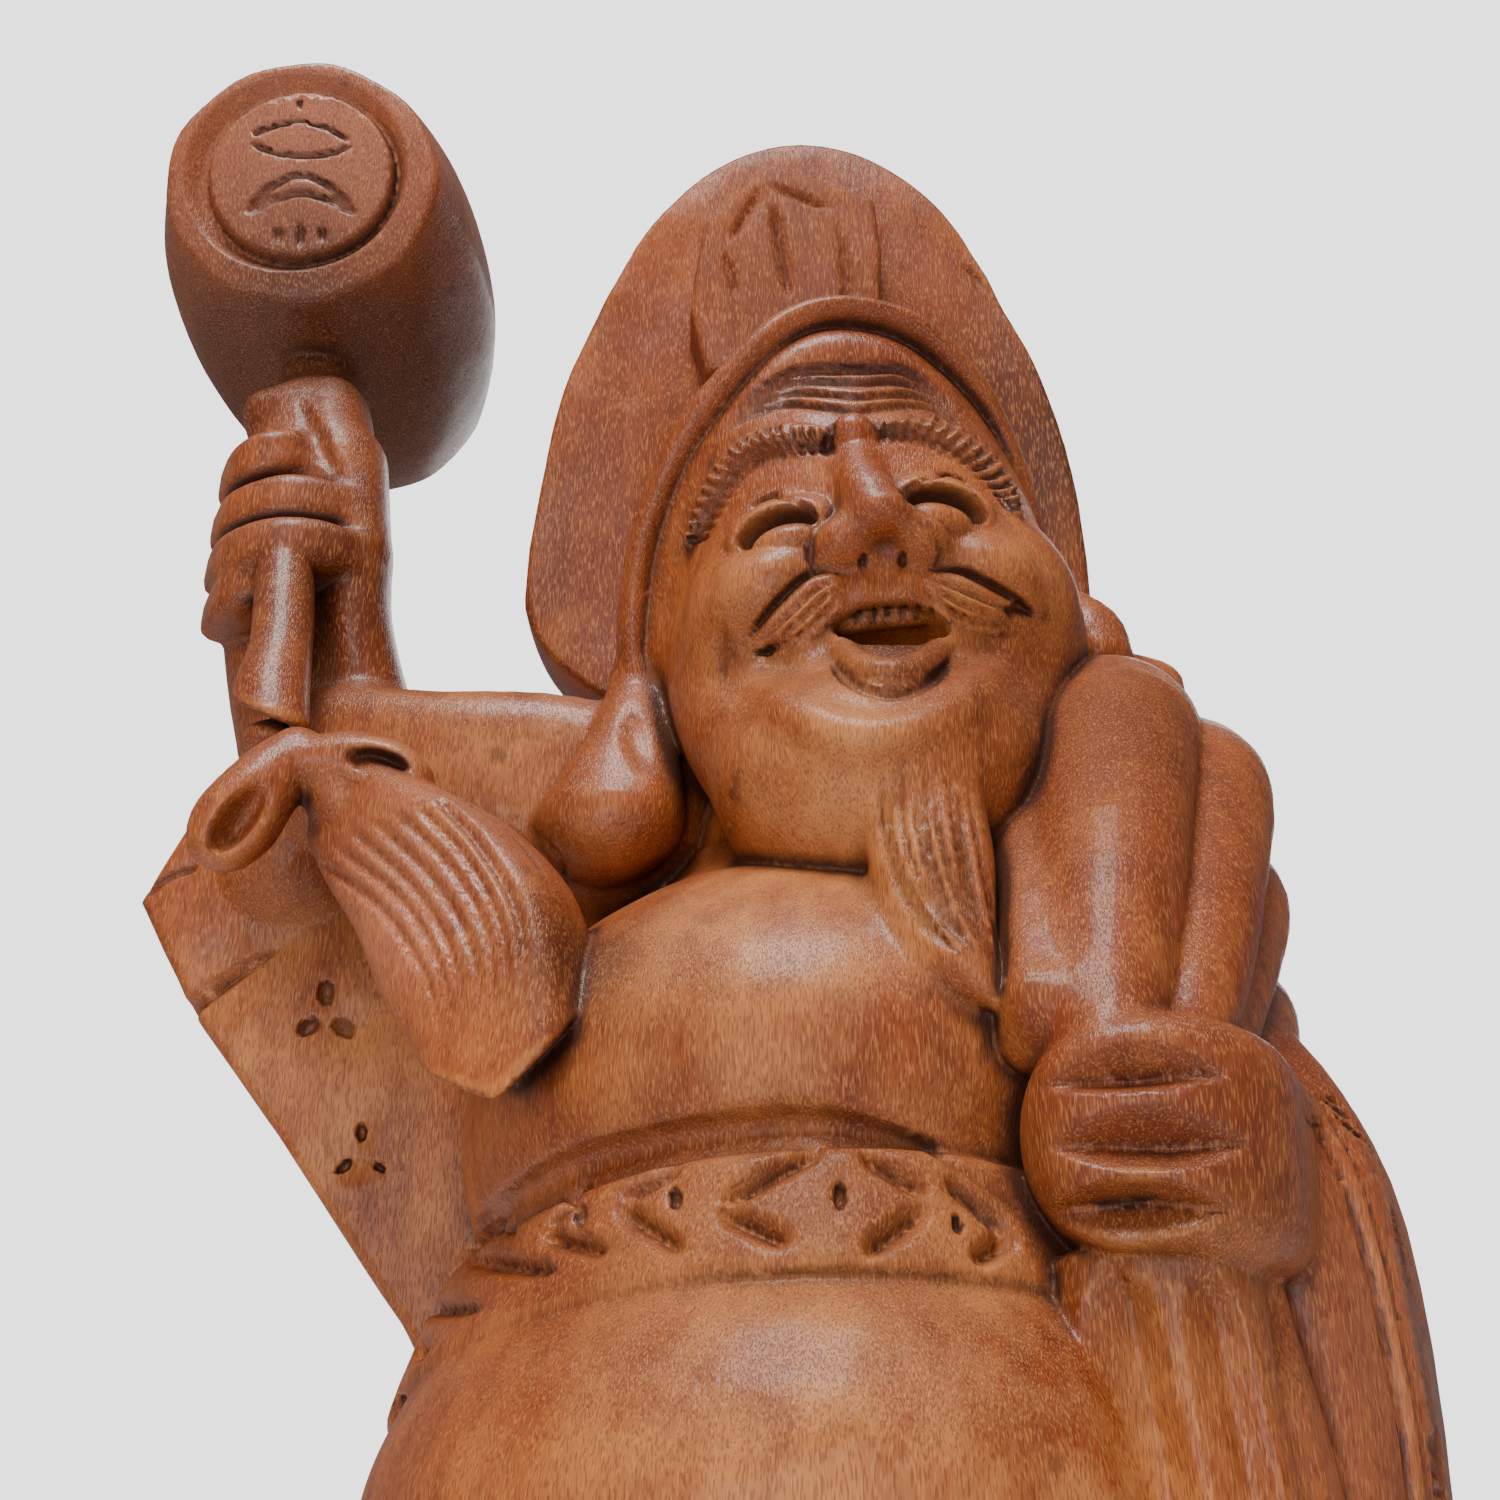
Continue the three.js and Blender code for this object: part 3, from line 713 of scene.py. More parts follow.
def mouth(wood, skin):
    """Upper lip's bosses, lower lip, the open mouth, the upper lip and the gum that bears the teeth."""
    for at, slant in (((11.0, 15.8), -20), ((15.9, 16.2), 20)):
        wood.add(set_in(skin, at, -3.6, (5.2, 5.0, 4.6), slant), 2)
    low_lip = [(8.2, 12.4, 1.6), (9.6, 9.8, 3.0), (11.8, 8.3, 3.8), (14.2, 7.8, 4.1)]
    low_lip += [(16.6, 8.3, 3.8), (18.8, 9.9, 3.0), (20.2, 12.6, 1.6)]
    wood.add(laid(skin, [(x, y, -1.8, half, half + 0.6) for x, y, half in low_lip]), 0.3)
    wood.take(set_in(skin, (14.2, 12.4), -2.0, (11.8, 14, 5.4), 2), 0.5)
    lip = [(8.2, 13.2, 1.0), (10.2, 14.9, 1.7), (12.6, 15.5, 1.9), (14.9, 15.6, 1.9)]
    lip += [(17.6, 15.4, 1.8), (19.8, 14.0, 1.0)]
    wood.add(laid(skin, [(x, y, -2.2, half, 3.0) for x, y, half in lip]), 1.2)
    gum = [(9.0, 13.2), (12.0, 13.8), (15.5, 14.1), (19.4, 14.3)]
    wood.add(laid(skin, [(x, y, -4.2, 2.1, 2.2) for x, y in gum]), 0.2)


def moustache(wood, skin):
    """Two leaves, each with a valley along its upper side."""
    for leaf, above in ((MOUSTACHE_LEFT, -1), (MOUSTACHE_RIGHT, 1)):
        facet_seen(wood, beside(leaf, above * LEAF_SWELL), 2.0, 2.4, (0.3, 0.4))
        rows = [(x, y, -0.8, half, 1.4 + half * 0.5) for (x, y), half in zip(leaf, LEAF_HALF)]
        wood.add(laid(skin, rows), 0.2)


def features(skin):
    """The face, with each feature set on the bare head where the photograph shows it."""
    wood = skin.copy()
    for feature in (cheeks, hollows, nose, brows, eyes, mouth, moustache):
        feature(wood, skin)
    return wood


def ears(wood):
    """Long ears with heavy lobes, as happy gods have."""
    ear = [(-11.2, 6.6, -14, 6.5, 6), (-11.6, 2.3, -18, 8, 8), (-12.3, -1.3, -21, 10.5, 9)]
    ear += [(-12.9, -4.6, -23, 13.5, 10), (-13.6, -7.0, -24, 14, 11)]
    lobe = [(-17.6, -7.8, -19, 8, 9), (-14.8, -8.8, -23, 10, 11), (-11.2, -7.0, -25, 8, 9)]
    far_ear = [(31.0, 14.0, -6, 6, 6), (33.6, 11.4, -9, 8.5, 8), (34.6, 9.0, -11, 8.5, 8)]
    for rows in (ear, lobe, far_ear):
        wood.add(limb(sighted(rows)), 4)
    wood.take(set_in(wood, (-11.4, 1.0), 3.4, (4.0, 5.0, 11.0), 8), 2)


BEARD = [
    (17.0, 2.0, -62, 8, 8),
    (17.4, -2.6, -63.5, 9.5, 8),
    (17.8, -7.6, -65.5, 10.8, 8),
    (18.3, -12.4, -68, 11, 8),
    (19.5, -17.4, -72, 9.0, 6.5),
    (21.8, -21.5, -75.5, 5.5, 5),
    (24.8, -25.4, -77.5, 1.2, 2.2),
]


def beard(wood):
    """A pointed beard that hangs off the chin to the right."""
    wood.add(limb(sighted(BEARD), (-0.2, -1, 0), 6), 3.5)


BRIM = [
    (-9.6, 2.0, -10, 5.5, 7),
    (-11.4, 9.0, -17, 4.2, 7),
    (-11.2, 16.2, -23, 3.9, 7),
    (-9.8, 22.2, -29, 4.0, 7),
    (-7.2, 28.6, -35, 4.4, 7),
    (-4.1, 33.5, -40, 4.6, 7),
    (-0.3, 38.0, -43.5, 4.2, 7),
    (3.6, 41.4, -45.5, 4.2, 7),
    (8.0, 43.0, -46.5, 3.6, 7),
    (12.4, 42.6, -45, 3.6, 7),
    (16.9, 40.8, -42, 3.7, 7),
    (20.8, 37.0, -37, 3.7, 7),
    (23.9, 32.6, -31, 3.6, 7),
    (26.3, 27.1, -25, 3.4, 7),
    (28.2, 20.0, -17, 3.4, 7),
    (30.0, 8.0, -6, 4, 6),
]
HAIR_WIDE, HAIR_DEEP = 7, 8
HAIRLINE = [
    (*row, HAIR_WIDE, HAIR_DEEP)
    for row in (
        (-8.2, 9.0, -15),
        (-8.2, 16.0, -20),
        (-6.6, 21.5, -26),
        (-4.0, 27.0, -32),
        (-1.0, 30.8, -36.5),
        (2.0, 34.4, -40),
        (4.6, 37.0, -42),
        (7.8, 38.4, -43),
        (11.2, 38.2, -42),
        (14.6, 36.6, -39),
        (18.0, 33.2, -34),
        (20.6, 29.4, -28),
        (22.8, 24.6, -22),
    )
]
CAP_WIDE, CAP_RISE, CAP_FALL, CAP_MIDDLE = 68.0, 146.0, 40.0, 400.0
# Planes of the cap's front and of the back of its rim, how full it is behind and how hollow in front
CAP_FRONT, CAP_RIM, CAP_FULL, CAP_HOLLOW = 2.0, 13.0, 38.0, 2.5
# Outline of the crest's plate in x and z, with the planes of its front and back
CREST_FRONT, CREST_BACK = -17, 14
CREST = [(-25, 451), (-29, 471), (-26, 499), (-9, 520), (18, 507), (19, 489), (18, 462), (-4, 450)]


def cap():
    """A tall soft cap: a wide front with a thin rim, a full back and a crest. Its rolled brim is made with
    the face.
    """
    wood = Clay((-82, -40, 290), (84, 75, 560))

    def bag(x, y, z):
        tall = np.where(z > CAP_MIDDLE, CAP_RISE, CAP_FALL)
        u, v = x / CAP_WIDE, (z - CAP_MIDDLE) / tall
        size = np.sqrt(u * u + v * v) + TINY
        edge = oval((u, v), (CAP_WIDE, tall))
        back = CAP_RIM + CAP_FULL * np.sqrt(np.clip(1 - size**4, 0, 1))
        hollow = CAP_HOLLOW * np.clip((0.98 - size) / 0.5, 0, 1)
        return rounded(edge, np.maximum(CAP_FRONT + hollow - y, 0.7 * (y - back)), 2.0)

    low, high = (-CAP_WIDE, 0, CAP_MIDDLE - CAP_FALL), (CAP_WIDE, 52, CAP_MIDDLE + CAP_RISE)
    wood.add([(np.array(low), np.array(high), bag)])
    wood.add(egg((2, 14, 446), (44, 26, 84), turn(-4)), 10)
    wood.add(limb([(2, 26, 380, 48, 18), (0, 30, 326, 56, 18)]), 8)
    # Shallow valleys beside the crest, cut before it is set on
    for line in ([(-5.6, 51.0), (-7.8, 44.0), (-11.4, 36.0)], [(14.0, 51.0), (17.0, 45.0), (22.0, 39.0)]):
        cut_seen(wood, line, 11, 1.3, (0.5, 0.5), 5)
    wood.add(plate(CREST, CREST_FRONT, CREST_BACK, 2.2), 1.5)
    return wood


# Raised arm and mallet

MALLET_FRONT = np.array([-131.5, -15.0, 518.0])
MALLET_AXIS = unit((-2, 107, 10))
MALLET_LENGTH, MALLET_END, MALLET_MIDDLE = 108.0, 34.5, 44.0
DISC, MOAT, MOAT_DEPTH, MALLET_SLANT = MALLET_END * 0.68, 5.8, 3.4, 0.12


def mallet():
    """A barrel that lies front to back, with a raised disc on its front end."""
    half = MALLET_LENGTH / 2

    def radius(along, angle):
        flats = 0.35 * np.cos(9 * angle + along / 40)
        return MALLET_MIDDLE - (MALLET_MIDDLE - MALLET_END) * ((along - half) / half) ** 2 + flats

    def face(off, across, height):
        """The front end is hollowed round a raised disc, widest towards the upper left."""
        wide = MOAT + 1.7 * np.cos(np.arctan2(height, -across) - 0.5)
        inner = np.clip((off - DISC) / 0.9, 0, 1)
        outer = np.clip((DISC + wide - off) / (0.55 * wide), 0, 1)
        fall = 0.05 * (off - DISC) * (off > DISC)
        return 0.6 + MOAT_DEPTH * inner * outer + fall - MALLET_SLANT * height

    def back(off, across, height):
        return 0.8 * np.clip((DISC - off) / 1.2, 0, 1)

    return turned(MALLET_FRONT, MALLET_AXIS, radius, MALLET_LENGTH, MALLET_MIDDLE + 1, face, back)


UPPER_ARM = [
    (-40, 4, 336, 25, 26),
    (-62, 5, 343, 22.5, 24),
    (-84, 7, 347, 20.5, 23),
    (-104, 11, 350, 21, 22),
]
FOREARM = [
    (-43.6, 1.0, 14, 18, 16),
    (-44.4, 8.0, 14, 18.5, 15),
    (-45.0, 16.0, 11, 18.5, 15),
    (-44.6, 24.0, 11, 17.5, 15),
]
# The back of the hand, its edge down the wrist, the thumb, the last knuckle and the handle's neck
HAND = (
    [FOREARM[-1], (-43.7, 29.6, 13, 16, 13), (-43.0, 32.6, 18, 13, 11)],
    [
        (-38.8, 28.4, 8, 6.5, 9),
        (-38.9, 20.0, 4, 7, 10),
        (-39.2, 13.0, 4, 7.5, 11),
        (-38.4, 6.0, 8, 9, 12),
        (-36.8, 0.0, 10, 10, 12),
    ],
    [(-41.6, 34.2, 10, 7, 8), (-41.2, 29.6, 3, 8, 8), (-40.0, 25.0, 2, 6, 7), (-38.6, 20.0, 1, 4, 6)],
    [(-47.8, 33.2, 11, 7, 8), (-45.4, 33.6, 10, 8, 8)],
    [(-43.6, 30.0, 14, 11, 11), (-43.2, 36.0, 20, 9.5, 9.5), (-43.0, 42.0, 24, 9.5, 9.5)],
)
FINGERS = (
    [(-44.6, 29.0, 0, 6, 6), (-47.4, 28.8, -4, 6, 6.4), (-49.6, 27.6, -2, 6, 6.2), (-50.6, 26.0, 7, 6, 6)],
    [
        (-39.4, 22.8, 0, 5, 4.6),
        (-42.6, 24.0, -5, 6, 6),
        (-46.4, 24.4, -8, 6, 6.3),
        (-50.2, 23.2, -4, 6, 6.2),
        (-51.4, 21.4, 6, 6, 6),
    ],
    [
        (-39.8, 18.8, -2, 5, 5),
        (-42.8, 19.6, -8, 6, 6.2),
        (-46.8, 20.0, -12, 6, 6.4),
        (-50.6, 19.0, -7, 6, 6.2),
        (-51.9, 17.4, 4, 6, 6),
    ],
    [(-49.0, 16.0, -8, 6, 5.2), (-51.0, 14.8, -6, 6, 5.6), (-52.1, 13.0, 4, 6, 5.6)],
)
HANDLE = [
    (-46.6, 19.6, -11, 6.0, 6),
    (-46.6, 14.4, -15, 6.4, 6.5),
    (-46.9, 10.0, -18, 6.8, 7),
    (-47.8, 5.8, -22, 8.2, 7.5),
    (-48.1, 2.0, -25, 8.6, 7.5),
]


def raised_arm():
    """The lifted arm and the hand round the mallet's handle."""
    wood = Clay((-150, -45, 300), (-5, 50, 500))
    wood.add(limb(UPPER_ARM, square=True))
    wood.add(limb([(-112, 13, 348, 20, 20), (-116, 14, 330, 20, 18)], steps=1), 2)
    for rows in (FOREARM, *HAND):
        wood.add(limb(sighted(rows)), 5)
    for finger in FINGERS:
        wood.add(limb(sighted(finger), (0, 0, 1), 5, True), 2.2)

    handle = Clay((-140, -45, 330), (-95, 15, 440))
    handle.add(limb(sighted(HANDLE)))
    handle.take(beyond((-48.0, 3.6, -24), (-0.37, -0.93)), 1.5)
    handle.add(egg(sighted([(-48.1, 0.9, -24)])[0][:3], (5.6, 5.6, 4.2)), 0.8)
    return wood.join(handle, 0.6)


def bow():
    """The cord's bow: two loops whose hollows open to the front."""
    wood = Clay((-145, -65, 285), (-60, 5, 355))
    left = [(-45.2, -0.8, -37, 6, 6), (-48.5, -3.6, -40, 7.6, 7), (-51.4, -7.2, -42, 9.0, 7)]
    left.append((-52.8, -9.4, -43, 7.4, 5.5))
    right = [(-43.6, -1.8, -38, 6, 6), (-40.0, -1.6, -38, 7.2, 6.5), (-36.4, -2.4, -39, 7, 6.5)]
    right.append((-34.0, -3.2, -39, 4.8, 5))
    root = [(-42.5, -3.4, -35, 6, 7), (-39.5, -6.5, -32, 8, 9), (-37.0, -7.0, -12, 12, 10)]
    for rows in (left, right, root):
        wood.add(limb(sighted(rows)), 1.5)
    for at, radii, slant in (
        ((-51.1, -6.2, -50), (9.0, 7.8, 3.6), 57),
        ((-37.6, -1.2, -46), (7.0, 7.0, 3.0), -14),
    ):
        wood.take(egg(sighted([at])[0][:3], radii, axes_on((0, -0.9, -0.45), slant)), 1.5)
    return wood


TASSEL = [
    (-38.5, -6.6, -32, 12, 9),
    (-35.5, -9.8, -35, 14.5, 11),
    (-30.6, -14.2, -41, 17.5, 12),
    (-27.0, -19.6, -46, 19, 12.5),
    (-24.6, -25.6, -50, 17, 12.5),
    (-23.6, -30.6, -53, 15, 12),
    (-23.0, -37.0, -56, 14, 12),
]


def tassel():
    """A thick tassel: a flat fan in front, a plain side, cut off square below."""
    wood = Clay((-115, -80, 240), (-25, 5, 345))
    wood.add(limb(sighted(TASSEL), (-0.3, -0.9, -0.3), 6, True), 1)
    wood.take(beyond((-26.0, -33.4, -55), (-0.2, -0.98)), 1)
    wood.take(beyond((-17.6, -26.6, -50), (0.72, -0.7)), 1)
    return wood


SLEEVE = [(-149, 321), (-141, 340), (-120, 352), (-40, 352), (-30, 196)]
SLEEVE += [(-62, 196), (-83, 231), (-132, 293), (-136, 299)]
FLOWERS = ((-42.4, -26.4), (-38.8, -40.4))


def hanging_sleeve():
    """The broad sleeve that hangs from the lifted arm."""
    return plate(SLEEVE, 4, 34, 2.5)


# Lowered arm and sack

FIST = [
    (36.6, -39.6, -79, 18.5, 15),
    (40.6, -39.2, -80, 19.5, 16),
    (44.6, -40.4, -77, 19.5, 16),
    (47.2, -42.4, -66, 18.5, 15),
]


def lowered_arm():
    """The tail of the robe, and the fist that holds the sack's neck above it."""
    wood = Clay((20, -104, 125), (121, 45, 305))

    def wave(angle, z):
        return 1 + 0.018 * np.sin(angle * 11 + z * 0.02)

    levels = [(134, 68, -14, 26, 42), (170, 72, -19, 33, 49), (240, 72, -22, 33, 48)]
    levels += [(276, 67, -14, 27, 40), (294, 60, -2, 18, 28)]
    wood.add(stack(levels, wave, 4))
    wood.add(limb(sighted(FIST), (0, -1, 0), 6, True), 1)
    return wood


SHOULDER = [
    (37.0, 4.0, 0, 13, 14),
    (34.6, -3.0, -20, 15, 14),
    (31.6, -10.0, -42, 16, 14),
    (31.4, -18.0, -60, 13.5, 13),
    (31.4, -27.0, -76, 11, 10),
]
SACK_FOLDS = (
    [(44, -84, 256, 9), (52, -64, 300, 14), (61, -34, 338, 18), (65, -4, 350, 20), (62, 40, 336, 20)],
    [(56, -82, 256, 7), (68, -60, 292, 11), (78, -30, 328, 15), (80, -4, 340, 17), (76, 40, 328, 20)],
    [(61, -76, 256, 6), (74, -50, 284, 9), (83, -22, 308, 13), (83, 0, 317, 15), (80, 40, 309, 18)],
    [(64, -68, 256, 6), (77, -44, 270, 9), (84, -18, 286, 11), (84, 4, 292, 12), (80, 40, 286, 16)],
)


def sack():
    """The sack over the shoulder: its body, its folds, the sleeve's shoulder and its neck below."""
    wood = Clay((-60, -100, 140), (119, 112, 375))
    wood.add(egg((24, 62, 262), (78, 46, 96)))
    wood.add(egg((75, 12, 318), (18, 32, 22)), 2)
    for fold in SACK_FOLDS:
        wood.add(limb(fold, (-0.3, -1, 0.3)), 1.2)
    wood.add(limb(sighted(SHOULDER), square=True), 4)

    def wave(angle, z):
        return 1 + 0.05 * np.cos(angle * 5)

    wood.add(stack([(144, 53, -67, 26, 17), (190, 52, -70, 23, 19), (228, 51, -70, 18, 18)], wave), 1)
    return wood


# Cuts of the gouge, drawn on the glass unless another way is named

FORWARD, BACKWARD = (0, -1, 0), (0, 1, 0)


def line_of(line):
    """The smooth curve through a few drawn points."""
    return smooth(line, 5)


def beside(line, offset):
    """The line moved sideways on the drawing, to its left for an offset above zero."""
    line = np.array(line, float)
    way = np.gradient(line, axis=0)
    way /= np.maximum(np.linalg.norm(way, axis=1), 1e-9)[:, None]
    offset = np.broadcast_to(offset, len(line))[:, None]
    return line + np.stack([-way[:, 1], way[:, 0]], 1) * offset


def cut_seen(wood, line, half, depth, ends=(0.2, 0.2), soft=0.3):
    """A groove along a drawn line."""
    wood.groove(wood.seen(line_of(line)), half, depth, ends, soft)


def facet_seen(wood, line, half, depth, ends=(0.5, 0.5), lean=0.0):
    """A cut with two flat sides along a drawn line."""
    wood.facet(wood.seen(line_of(line)), half, depth, ends, lean)


def cut_facing(wood, line, way, half, depth, ends=(0.2, 0.2), soft=0.3):
    """A groove along a line drawn in x and z and thrown at the wood along a way."""
    wood.groove(wood.facing(line_of(line), way), half, depth, ends, soft)


HAIR_HALF, HAIR_DEPTH = 0.85, 1.1  # half width and depth of one hair's stroke


def hairs(wood, line, count, wide, slant):
    """Short strokes across a line, slanted along it."""
    path = line_of(line)
    way = np.gradient(path, axis=0)
    for i in range(count):
        place = (i + 0.5) / count * (len(path) - 1)
        k = min(int(place), len(path) - 2)
        at = path[k] + (path[k + 1] - path[k]) * (place - k)
        along = unit(way[k])
        across = np.array([-along[1], along[0]])
        size = wide * math.sin(math.pi * (0.2 + 0.6 * (i + 0.5) / count))
        high, low = at + across * size + along * slant * 0.3, at - across * size - along * slant
        cut_seen(wood, [high, at + across * 0.1 * size, low], HAIR_HALF, HAIR_DEPTH, (0.35, 0.25), 0.3)


WRINKLE_TOP = [(-1.6, 34.2), (1.0, 36.2), (4.6, 37.9), (8.6, 38.1)]
WRINKLE_TOP += [(11.6, 38.1), (15.0, 38.1), (18.0, 36.6), (20.8, 33.6)]
WRINKLE_LOW = [(-2.6, 31.8), (0.0, 33.6), (3.4, 34.6), (7.0, 34.4)]
WRINKLE_LOW += [(10.6, 34.1), (14.2, 34.6), (18.0, 34.5), (22.2, 31.4)]
LID_LEFT = [(-2.2, 20.6), (-0.6, 23.6), (2.4, 25.4), (5.2, 24.7), (6.9, 22.8)]
LID_RIGHT = [(15.0, 23.6), (16.4, 26.4), (18.9, 27.5), (21.8, 26.4), (24.0, 23.2)]
BRIDGE_CREASE = [(8.4, 32.8), (7.8, 31.0), (7.9, 29.0)]
NOSTRILS = ((11.4, 18.8), (15.2, 19.0))
WINGS = ([(6.6, 21.6), (5.9, 19.6), (6.7, 17.6)], [(18.4, 21.6), (19.2, 19.6), (18.6, 18.0)])
CHEEK_CREASE = [(-2.6, 13.4), (-3.0, 10.4), (-2.5, 7.2)]
LIP_CREASE = [(7.6, 9.6), (10.0, 7.0), (14.1, 5.7), (18.2, 7.0), (20.6, 9.8)]


def carve_face(wood):
    """The finer lines of the face."""
    for share in (0, 1 / 3, 2 / 3, 1):
        cut_seen(wood, between(WRINKLE_TOP, WRINKLE_LOW, share), 1.1, 1.7, (0.25, 0.25), 1.1)
    hairs(wood, BROW_LEFT, 18, 2.2, -1.2)
    hairs(wood, BROW_RIGHT, 15, 2.1, 1.2)
    # Folds of the upper lids
    for lid in (LID_LEFT, LID_RIGHT):
        cut_seen(wood, lid, 0.9, 1.0, (0.3, 0.3), 0.5)
    # Nose: a crease beside its bridge, nostrils and wings
    cut_seen(wood, BRIDGE_CREASE, 1.0, 1.4, (0.4, 0.4), 0.5)
    for nostril in NOSTRILS:
        wood.take(set_in(wood, nostril, 0.4, (0.9, 2.2, 1.6)), 0.4)
    for wing in WINGS:
        cut_seen(wood, wing, 0.8, 1.0, (0.4, 0.4), 0.8)
    # Moustache strands
    for leaf in (MOUSTACHE_LEFT, MOUSTACHE_RIGHT):
        lines = [wood.seen(line_of(beside(leaf, share * LEAF_SWELL))) for share in (-0.5, 0.0, 0.5)]
        for points in lines:
            wood.facet(points, 1.2, 1.8, (0.2, 0.3))
    # Teeth
    for x in (10.8, 12.3, 13.8, 15.3, 16.8, 18.2):
        y = 13.5 + 0.1 * (x - 10.8)
        cut_seen(wood, [(x - 0.1, y - 0.9), (x, y), (x + 0.1, y + 0.7)], 0.6, 0.8, (0, 0.4), 0.2)
    # Creases beside the cheek and under the lip
    cut_seen(wood, CHEEK_CREASE, 1.2, 0.6, (0.4, 0.4), 1.5)
    cut_seen(wood, LIP_CREASE, 1.2, 1.6, (0.3, 0.3), 0.6)


def carve_beard(wood):
    """Strands that run together at the tip."""
    left = [(12.9, 0.4), (12.8, -9.0), (16.4, -16.8), (22.6, -22.6)]
    right = [(22.0, 0.8), (23.0, -8.0), (24.2, -16.0), (25.0, -23.0)]
    for i, share in enumerate(np.linspace(0.04, 0.96, 9)):
        line = between(left, right, share)
        line[:, 0] += 0.25 * np.sin(i * 2.1 + np.arange(4) * 1.7)
        line[0, 1] -= 3.0 * (0.5 + 0.5 * math.sin(i * 2.7))
        line[3, 1] += 2.4 * (0.5 + 0.5 * math.sin(i * 4.1))
        cut_seen(wood, line, 0.85, 0.95, (0.3, 0.3), 0.6)


def straight(*corners):
    """Points along straight stretches between corners."""
    quarters = (0, 0.25, 0.5, 0.75)
    rows = [between([a], [b], share)[0] for a, b in zip(corners, corners[1:]) for share in quarters]
    return np.array([*rows, corners[-1]])


def carve_cap(wood):
    """The pointed folds of the crest, a chip on the cap's edge, and slack folds behind."""
    folds = (
        (straight((-2.3, 50.6), (1.3, 56.4)), 1.9, 2.0),
        (straight((1.9, 56.5), (8.3, 54.0)), 1.9, 2.0),
        (straight((8.7, 53.4), (9.4, 49.6), (10.0, 44.8)), 2.0, 2.2),
        (straight((2.3, 54.8), (3.0, 51.0), (4.0, 45.2)), 2.3, 2.8),
        (straight((-2.5, 49.8), (-1.9, 47.8), (-1.3, 45.2)), 1.6, 1.9),
    )
    for points, half, depth in [(wood.seen(line), half, depth) for line, half, depth in folds]:
        wood.facet(points, half, depth, (0.25, 0.25))
    cut_seen(wood, [(21.4, 48.3), (22.3, 47.6), (23.2, 46.4)], 1.2, 1.2)
    for x, sway in ((-30, -8), (-6, 4), (20, 7)):
        line = [(x, 380), (x + sway, 420), (x + 0.4 * sway, 462), (x * 0.5, 500)]
        cut_facing(wood, line, FORWARD, 5, 1.8, (0.4, 0.4), 3)


def carve_mallet(wood):
    """Rows of shallow strokes on the front disc. They aren't letters."""
    ends = ((-50.6, 61.0), (-39.4, 60.6))
    crescent = ((-50.6, 53.8), (-39.2, 53.6))
    upright = ((-47.2, 50.6, 52.6), (-45.0, 49.8, 53.2), (-42.8, 50.6, 52.6), (-45.0, 63.6, 65.4))
    half, depth = 1.05, 1.3
    for (a, b), rise in ((ends, 2.0), (ends, -1.4), (crescent, 3.8), (crescent, 2.0)):
        middle = (np.array(a) + b) / 2 + (0, rise)
        shoulders = [between([end], [middle], 0.5)[0] + (0, 0.22 * rise) for end in (a, b)]
        cut_seen(wood, [a, shoulders[0], middle, shoulders[1], b], half, depth, (0.15, 0.15))
    for x, low, high in upright:
        cut_seen(wood, [(x, low), (x, (low + high) / 2), (x, high)], half, depth, (0.4, 0.4))


def carve_hand(wood):
    """The crease between the thumb and the hand."""
    cut_seen(wood, [(-44.9, 34.6), (-43.6, 31.2), (-40.8, 27.0)], 2.6, 1.6, (0.4, 0.5), 1.6)


def carve_cord(wood):
    """The strands of the tassel, and two creases on its root."""
    top = smooth([(-43.4, -11.2), (-40.4, -7.6), (-35.8, -5.9), (-31.4, -4.6)], 2)
    left = [(-43.2, -11.6), (-38.0, -16.0), (-33.4, -23.0), (-30.6, -32.0)]
    right = [(-31.2, -4.6), (-26.2, -9.6), (-22.6, -17.0), (-22.4, -28.0)]
    strands = []
    for i, start in enumerate(top):
        line = between(left, right, 0.06 + 0.9 * i / (len(top) - 1))
        line[0] = start
        line[1:, 0] += 0.2 * np.sin(i * 1.9 + np.arange(3))
        strands.append(wood.seen(line_of(line)))
    for points in strands:
        wood.facet(points, 1.5, 1.5, (0.1, 0.5))
    for line in (
        [(-29.4, -4.6), (-22.6, -9.6), (-19.4, -15.4)],
        [(-25.0, -5.4), (-19.6, -10.4), (-17.4, -16.0)],
    ):
        cut_seen(wood, line, 0.9, 0.9, (0.3, 0.3), 0.6)


def carve_sleeve(wood):
    """Two creases, and flowers of three cut petals."""
    facet_seen(wood, [(-56.8, -26.6), (-50.4, -22.0), (-44.6, -18.3)], 2.8, 3.2, (0.0, 0.9), -0.2)
    cut_seen(wood, [(-61.6, -15.2), (-57.6, -12.4), (-53.0, -11.0)], 1.0, 1.2, (0.0, 0.5))
    for x, y in FLOWERS:
        for degrees in (92, 214, 322):
            way = np.array([math.cos(math.radians(degrees)), math.sin(math.radians(degrees))])
            petal = [(x, y) + way * reach for reach in (0.8, 2.1, 3.6)]
            cut_seen(wood, petal, 1.15, 2.0, (0.5, 0.5))


